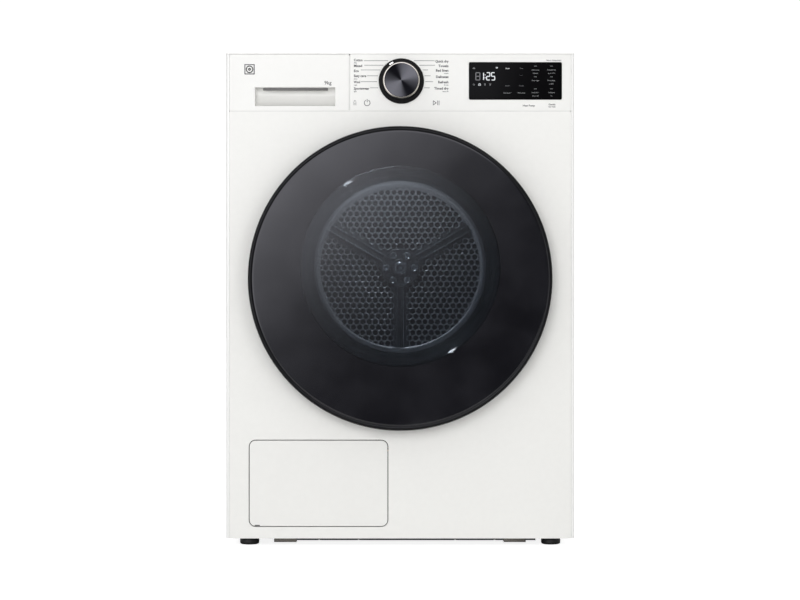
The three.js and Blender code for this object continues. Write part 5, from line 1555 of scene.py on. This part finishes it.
class DRYER_OT_inside(bpy.types.Operator):
    """Details the throat, filter, seals, exchangers and the base's machinery"""

    bl_idname = "dryer.inside"
    bl_label = "Inside"

    def execute(self, context):
        look = looks(current())
        kept = {
            "base_pan": "dark_moulding", "front_bulkhead": "galvanised", "tank_tray": "throat_grey",
            "exchanger_cover": "dark_moulding", "fan_housing": "dark_moulding", "fan_motor": "cast",
            "drain_pump": "dark_moulding", "drain_hose": "seal", "motor_mount": "galvanised",
            "drum_belt": "rubber", "control_board": "board", "refrigerant_pipe": "copper",
        }
        for node, finish in kept.items():
            paint(node, look[finish])
        for node, finish in (("compressor", "cast"), ("drum_motor", "cast")):
            belongs(refined(node, node + "_can", look[finish], 0.002, 3, 50), "cabinet", "motor_steel", node)
        for node, body, finish, slot in (
            ("motor_pulley", "motor_rotor", "steel", "stainless"), ("idler_arm", "idler_lever", "galvanised",
                                                                    "galvanised"),
            ("idler_pulley", "idler_wheel", "dark_moulding", "dark_plastic"),
            ("fan_impeller", "fan_wheel", "dark_moulding", "dark_plastic"),
        ):
            belongs(refined(node, node + "_piece", look[finish], 0.0003), body, slot, node)
        belongs(refined("throat_ring", "throat", look["throat_grey"], 0.0006, 2, 40), "cabinet",
                "grey_plastic", "throat_ring")
        belongs(refined("lint_filter", "filter_frame", look["lifter_grey"], 0.0006), "filter", "grey_plastic",
                "lint_filter")
        self.mesh_screens(look)
        self.felt(look)
        self.lamp(look)
        for node in ("evaporator", "condenser"):
            self.fins(node, look)
        return {"FINISHED"}

    def mesh_screens(self, look):
        """Fine crossed wires in the filter's windows."""
        low = span("lint_filter")[0]
        bm = bmesh.new()
        t = 0.0002
        y = low.y + 0.0016
        z0, z1 = low.z + 0.009, low.z + 0.067
        for i in (-1, 0, 1):
            x0, x1 = i * 0.062 - 0.028, i * 0.062 + 0.028
            for k in range(19):
                x = x0 + (x1 - x0) * (k + 0.5) / 19
                box_mesh(bm, (x - t, y - t, z0), (x + t, y + t, z1))
                z = z0 + (z1 - z0) * (k + 0.5) / 19
                box_mesh(bm, (x0, y - t, z - t), (x1, y + t, z + t))
        belongs(from_bmesh("filter_mesh", bm, look["steel"]), "filter", "stainless")

    def felt(self, look):
        lip = DRUM_R - 0.032
        y = DRUM_LOW.y
        ring = lathe("drum_felt", [
            (lip - 0.0047, y - 0.004), (lip - 0.0010, y - 0.004), (lip - 0.0004, y - 0.003),
            (lip - 0.0004, y + 0.007), (lip - 0.0010, y + 0.008), (lip - 0.0047, y + 0.008),
        ], AXIS, 96, look["felt"])
        belongs(ring, "cabinet", "seal_grey")

    def lamp(self, look):
        turn = math.radians(55)
        reach = (THROAT_R + DRUM_R - 0.032) / 2
        centre = Vector((reach * math.cos(turn), 0, AXIS.z + reach * math.sin(turn)))
        y = FRONT_Y + 43.8 * MM
        lens = lathe("drum_lamp", [(0, y), (0.013, y), (0.013, y + 0.003), (0.010, y + 0.0055),
                                   (0.005, y + 0.007), (0, y + 0.0073)], centre, 32, look["lit_soft"])
        belongs(lens, "cabinet", "bowl_glass")

    def fins(self, node, look):
        """A close stack of thin fins with the tubes' bends at its end."""
        low, high = span(node)
        bm = bmesh.new()
        box_mesh(bm, (-0.00013, low.y, low.z + 0.004), (0.00013, high.y, high.z))
        mesh = bpy.data.meshes.new("fin")
        bm.to_mesh(mesh)
        bm.free()
        step = 0.0022
        count = int((high.x - low.x - 0.004) / step)
        places = [(Vector((low.x + 0.003 + step * i, 0, 0)), (0, 0, 0)) for i in range(count)]
        stack = copies(node + "_fins", mesh_object("fin", mesh), places, look["fins"])
        bm = bmesh.new()
        for x in (low.x + 0.0008, high.x - 0.0008):
            box_mesh(bm, (x - 0.0007, low.y, low.z), (x + 0.0007, high.y, high.z))
        box_mesh(bm, (low.x, low.y, low.z), (high.x, high.y, low.z + 0.003))
        ends = from_bmesh(node + "_ends", bm, look["galvanised"])
        tubes = []
        rows = 5
        for i in range(rows):
            z = low.z + (high.z - low.z) * (i + 0.6) / (rows + 0.2)
            for k in (0.25, 0.75):
                y = low.y + (high.y - low.y) * k
                tube = lathe(f"tube_{i}_{k}", [(0, low.x - 0.004), (0.0042, low.x - 0.004),
                                               (0.0042, high.x + 0.004),
                                               (0, high.x + 0.004)], Vector((0, 0, 0)), 12, look["copper"])
                tube.data.transform(Matrix(((0, 1, 0, 0), (1, 0, 0, y), (0, 0, 1, z), (0, 0, 0, 1))))
                tube.data.flip_normals()
                tubes.append(tube)
        belongs(merged(node + "_core", [stack, ends, *tubes]), "cabinet", "aluminium_fin", node)


# ---------------------------------------------------------------- stage

class DRYER_OT_stage(bpy.types.Operator):
    """Sets the pale floor, the soft lights and the camera"""

    bl_idname = "dryer.stage"
    bl_label = "Stage"

    def execute(self, context):
        scene = context.scene
        settings = current()
        self.camera(scene, settings)
        self.floor()
        self.card()
        self.world(scene)
        self.lamp("key_light", (-0.7, -4.7, 1.35), (0, FRONT_Y, 0.45), 2.0, 68)
        self.lamp("fill_light", (1.6, -4.2, 0.9), (0, FRONT_Y, 0.4), 1.4, 18)
        self.lamp("drum_light", (-0.05, BACK_Y - 0.16, AXIS.z + 0.215), (-0.01, BACK_Y, AXIS.z + 0.05), 0.06,
                  0.62)
        for name, angle, power in (("glass_light_high", 122, 0.02), ("glass_light_low", 302, 0.02)):
            turn = math.radians(angle)
            reach = BOWL_R - 0.002
            place = (reach * math.cos(turn), DOOR_Y + 0.012, AXIS.z + reach * math.sin(turn))
            self.lamp(name, place, (0, FRONT_Y + 0.14, AXIS.z), 0.012, power)
        scene.view_settings.view_transform = "Standard"
        scene.view_settings.look = "None"
        return {"FINISHED"}

    def camera(self, scene, settings):
        data = bpy.data.cameras.new("camera")
        camera = bpy.data.objects.new("camera", data)
        scene.collection.objects.link(camera)
        distance = settings.camera_distance
        width = 800 * 1.7227 * MM
        data.sensor_width = 36
        data.lens = 36 * distance / width
        middle = 0.4248
        camera.location = (-0.0003, FRONT_Y - distance, settings.camera_height)
        camera.rotation_euler = (math.radians(90), 0, 0)
        data.shift_y = (middle - settings.camera_height) / width
        data.clip_end = 60
        scene.camera = camera

    def floor(self):
        """A pale floor that meets the white backdrop without an edge."""
        mat = bpy.data.materials.new("floor")
        mat.use_nodes = True
        n = Nodes(mat.node_tree)
        shader = mat.node_tree.nodes["Principled BSDF"]
        place = n.add("ShaderNodeTexCoord").outputs["Object"]
        noise = n.put(n.add("ShaderNodeTexNoise"), Vector=place, Scale=3.0)
        n.link(n.ramp(noise.outputs["Fac"], [(0.3, (0.93, 0.93, 0.93)), (0.7, (0.95, 0.95, 0.95))]),
               shader.inputs["Base Color"])
        shader.inputs["Roughness"].default_value = 0.8
        shader.inputs["Emission Color"].default_value = (1, 1, 1, 1)
        seen = n.add("ShaderNodeLightPath").outputs["Is Camera Ray"]
        n.link(n.maths("MULTIPLY", seen, 0.86), shader.inputs["Emission Strength"])
        bm = bmesh.new()
        bmesh.ops.create_grid(bm, x_segments=2, y_segments=2, size=14)
        from_bmesh("floor", bm, mat)

    def card(self):
        """A card that only glossy faces see, bright at its upper left and dark at its lower right."""
        mat = bpy.data.materials.new("shaded_card")
        mat.use_nodes = True
        n = Nodes(mat.node_tree)
        shader = mat.node_tree.nodes["Principled BSDF"]
        shader.inputs["Base Color"].default_value = (0, 0, 0, 1)
        shader.inputs["Specular IOR Level"].default_value = 0
        place = n.add("ShaderNodeTexCoord").outputs["Object"]
        parts = n.put(n.add("ShaderNodeSeparateXYZ"), Vector=place)
        slope = n.maths("SUBTRACT", n.maths("MULTIPLY", parts.outputs["Z"], 0.743),
                        n.maths("MULTIPLY", parts.outputs["X"], 0.669))
        step = n.maths("MULTIPLY_ADD", slope, 0.4 / 0.42, 0.5 - 0.743 * DOOR_Z * 0.4 / 0.42, clamp=True)
        tone = n.ramp(step, [(0.2, (0.022, 0.022, 0.024)), (0.38, (0.05, 0.05, 0.055)),
                             (0.5, (0.12, 0.12, 0.132)),
                             (0.62, (0.25, 0.25, 0.275)), (0.7, (0.44, 0.44, 0.48)),
                             (0.8, (0.64, 0.64, 0.70)), (0.9, (0.92, 0.92, 1.0))], smooth=False)
        n.link(tone, shader.inputs["Emission Color"])
        shader.inputs["Emission Strength"].default_value = 2.5
        bm = bmesh.new()
        y = FRONT_Y - 2.2
        corners = [bm.verts.new(p) for p in ((-2.4, y, 0.01), (2.4, y, 0.01), (2.4, y, 2.6), (-2.4, y, 2.6))]
        bm.faces.new(corners)
        card = from_bmesh("shaded_card", bm, mat)
        card.visible_camera = False
        card.visible_diffuse = False
        card.visible_transmission = False
        card.visible_shadow = False

    def world(self, scene):
        """Soft white light from all round, with a pure white backdrop."""
        world = bpy.data.worlds.new("studio")
        scene.world = world
        world.use_nodes = True
        n = Nodes(world.node_tree)
        background = world.node_tree.nodes["Background"]
        seen = n.add("ShaderNodeLightPath").outputs["Is Camera Ray"]
        n.link(n.maths("MULTIPLY_ADD", seen, 0.56, 0.52), background.inputs["Strength"])
        background.inputs["Color"].default_value = (1, 1, 1, 1)

    def lamp(self, name, place, target, size, power):
        data = bpy.data.lights.new(name, "AREA")
        data.size = size
        data.energy = power
        lamp = bpy.data.objects.new(name, data)
        bpy.context.scene.collection.objects.link(lamp)
        lamp.location = place
        aim = Vector(target) - Vector(place)
        lamp.rotation_euler = aim.to_track_quat("-Z", "Y").to_euler()


# ---------------------------------------------------------------- panel and registration

STEPS = (
    DRYER_OT_cabinet,
    DRYER_OT_rear,
    DRYER_OT_door,
    DRYER_OT_drum,
    DRYER_OT_controls,
    DRYER_OT_knob,
    DRYER_OT_hatch,
    DRYER_OT_inside,
    DRYER_OT_stage,
)


class DRYER_PT_panel(bpy.types.Panel):
    """Lists the dryer's pieces"""

    bl_idname = "DRYER_PT_panel"
    bl_label = "Clothes dryer"
    bl_space_type = "VIEW_3D"
    bl_region_type = "UI"
    bl_category = "Dryer"

    def draw(self, context):
        layout = self.layout
        settings = context.scene.dryer
        for name in ("cabinet_white", "strip_white", "legend_grey", "screen_tint", "hole_pitch", "knurls",
                     "camera_distance", "camera_height"):
            layout.prop(settings, name)
        for step in STEPS:
            layout.operator(step.bl_idname)


CLASSES = (DryerSettings, *STEPS, DRYER_PT_panel)


def register():
    for cls in CLASSES:
        bpy.utils.register_class(cls)
    bpy.types.Scene.dryer = bpy.props.PointerProperty(type=DryerSettings)


def unregister():
    del bpy.types.Scene.dryer
    for cls in reversed(CLASSES):
        bpy.utils.unregister_class(cls)


def main():
    register()
    for step in STEPS:
        group, name = step.bl_idname.split(".")
        getattr(getattr(bpy.ops, group), name)()


if __name__ == "__main__":
    main()
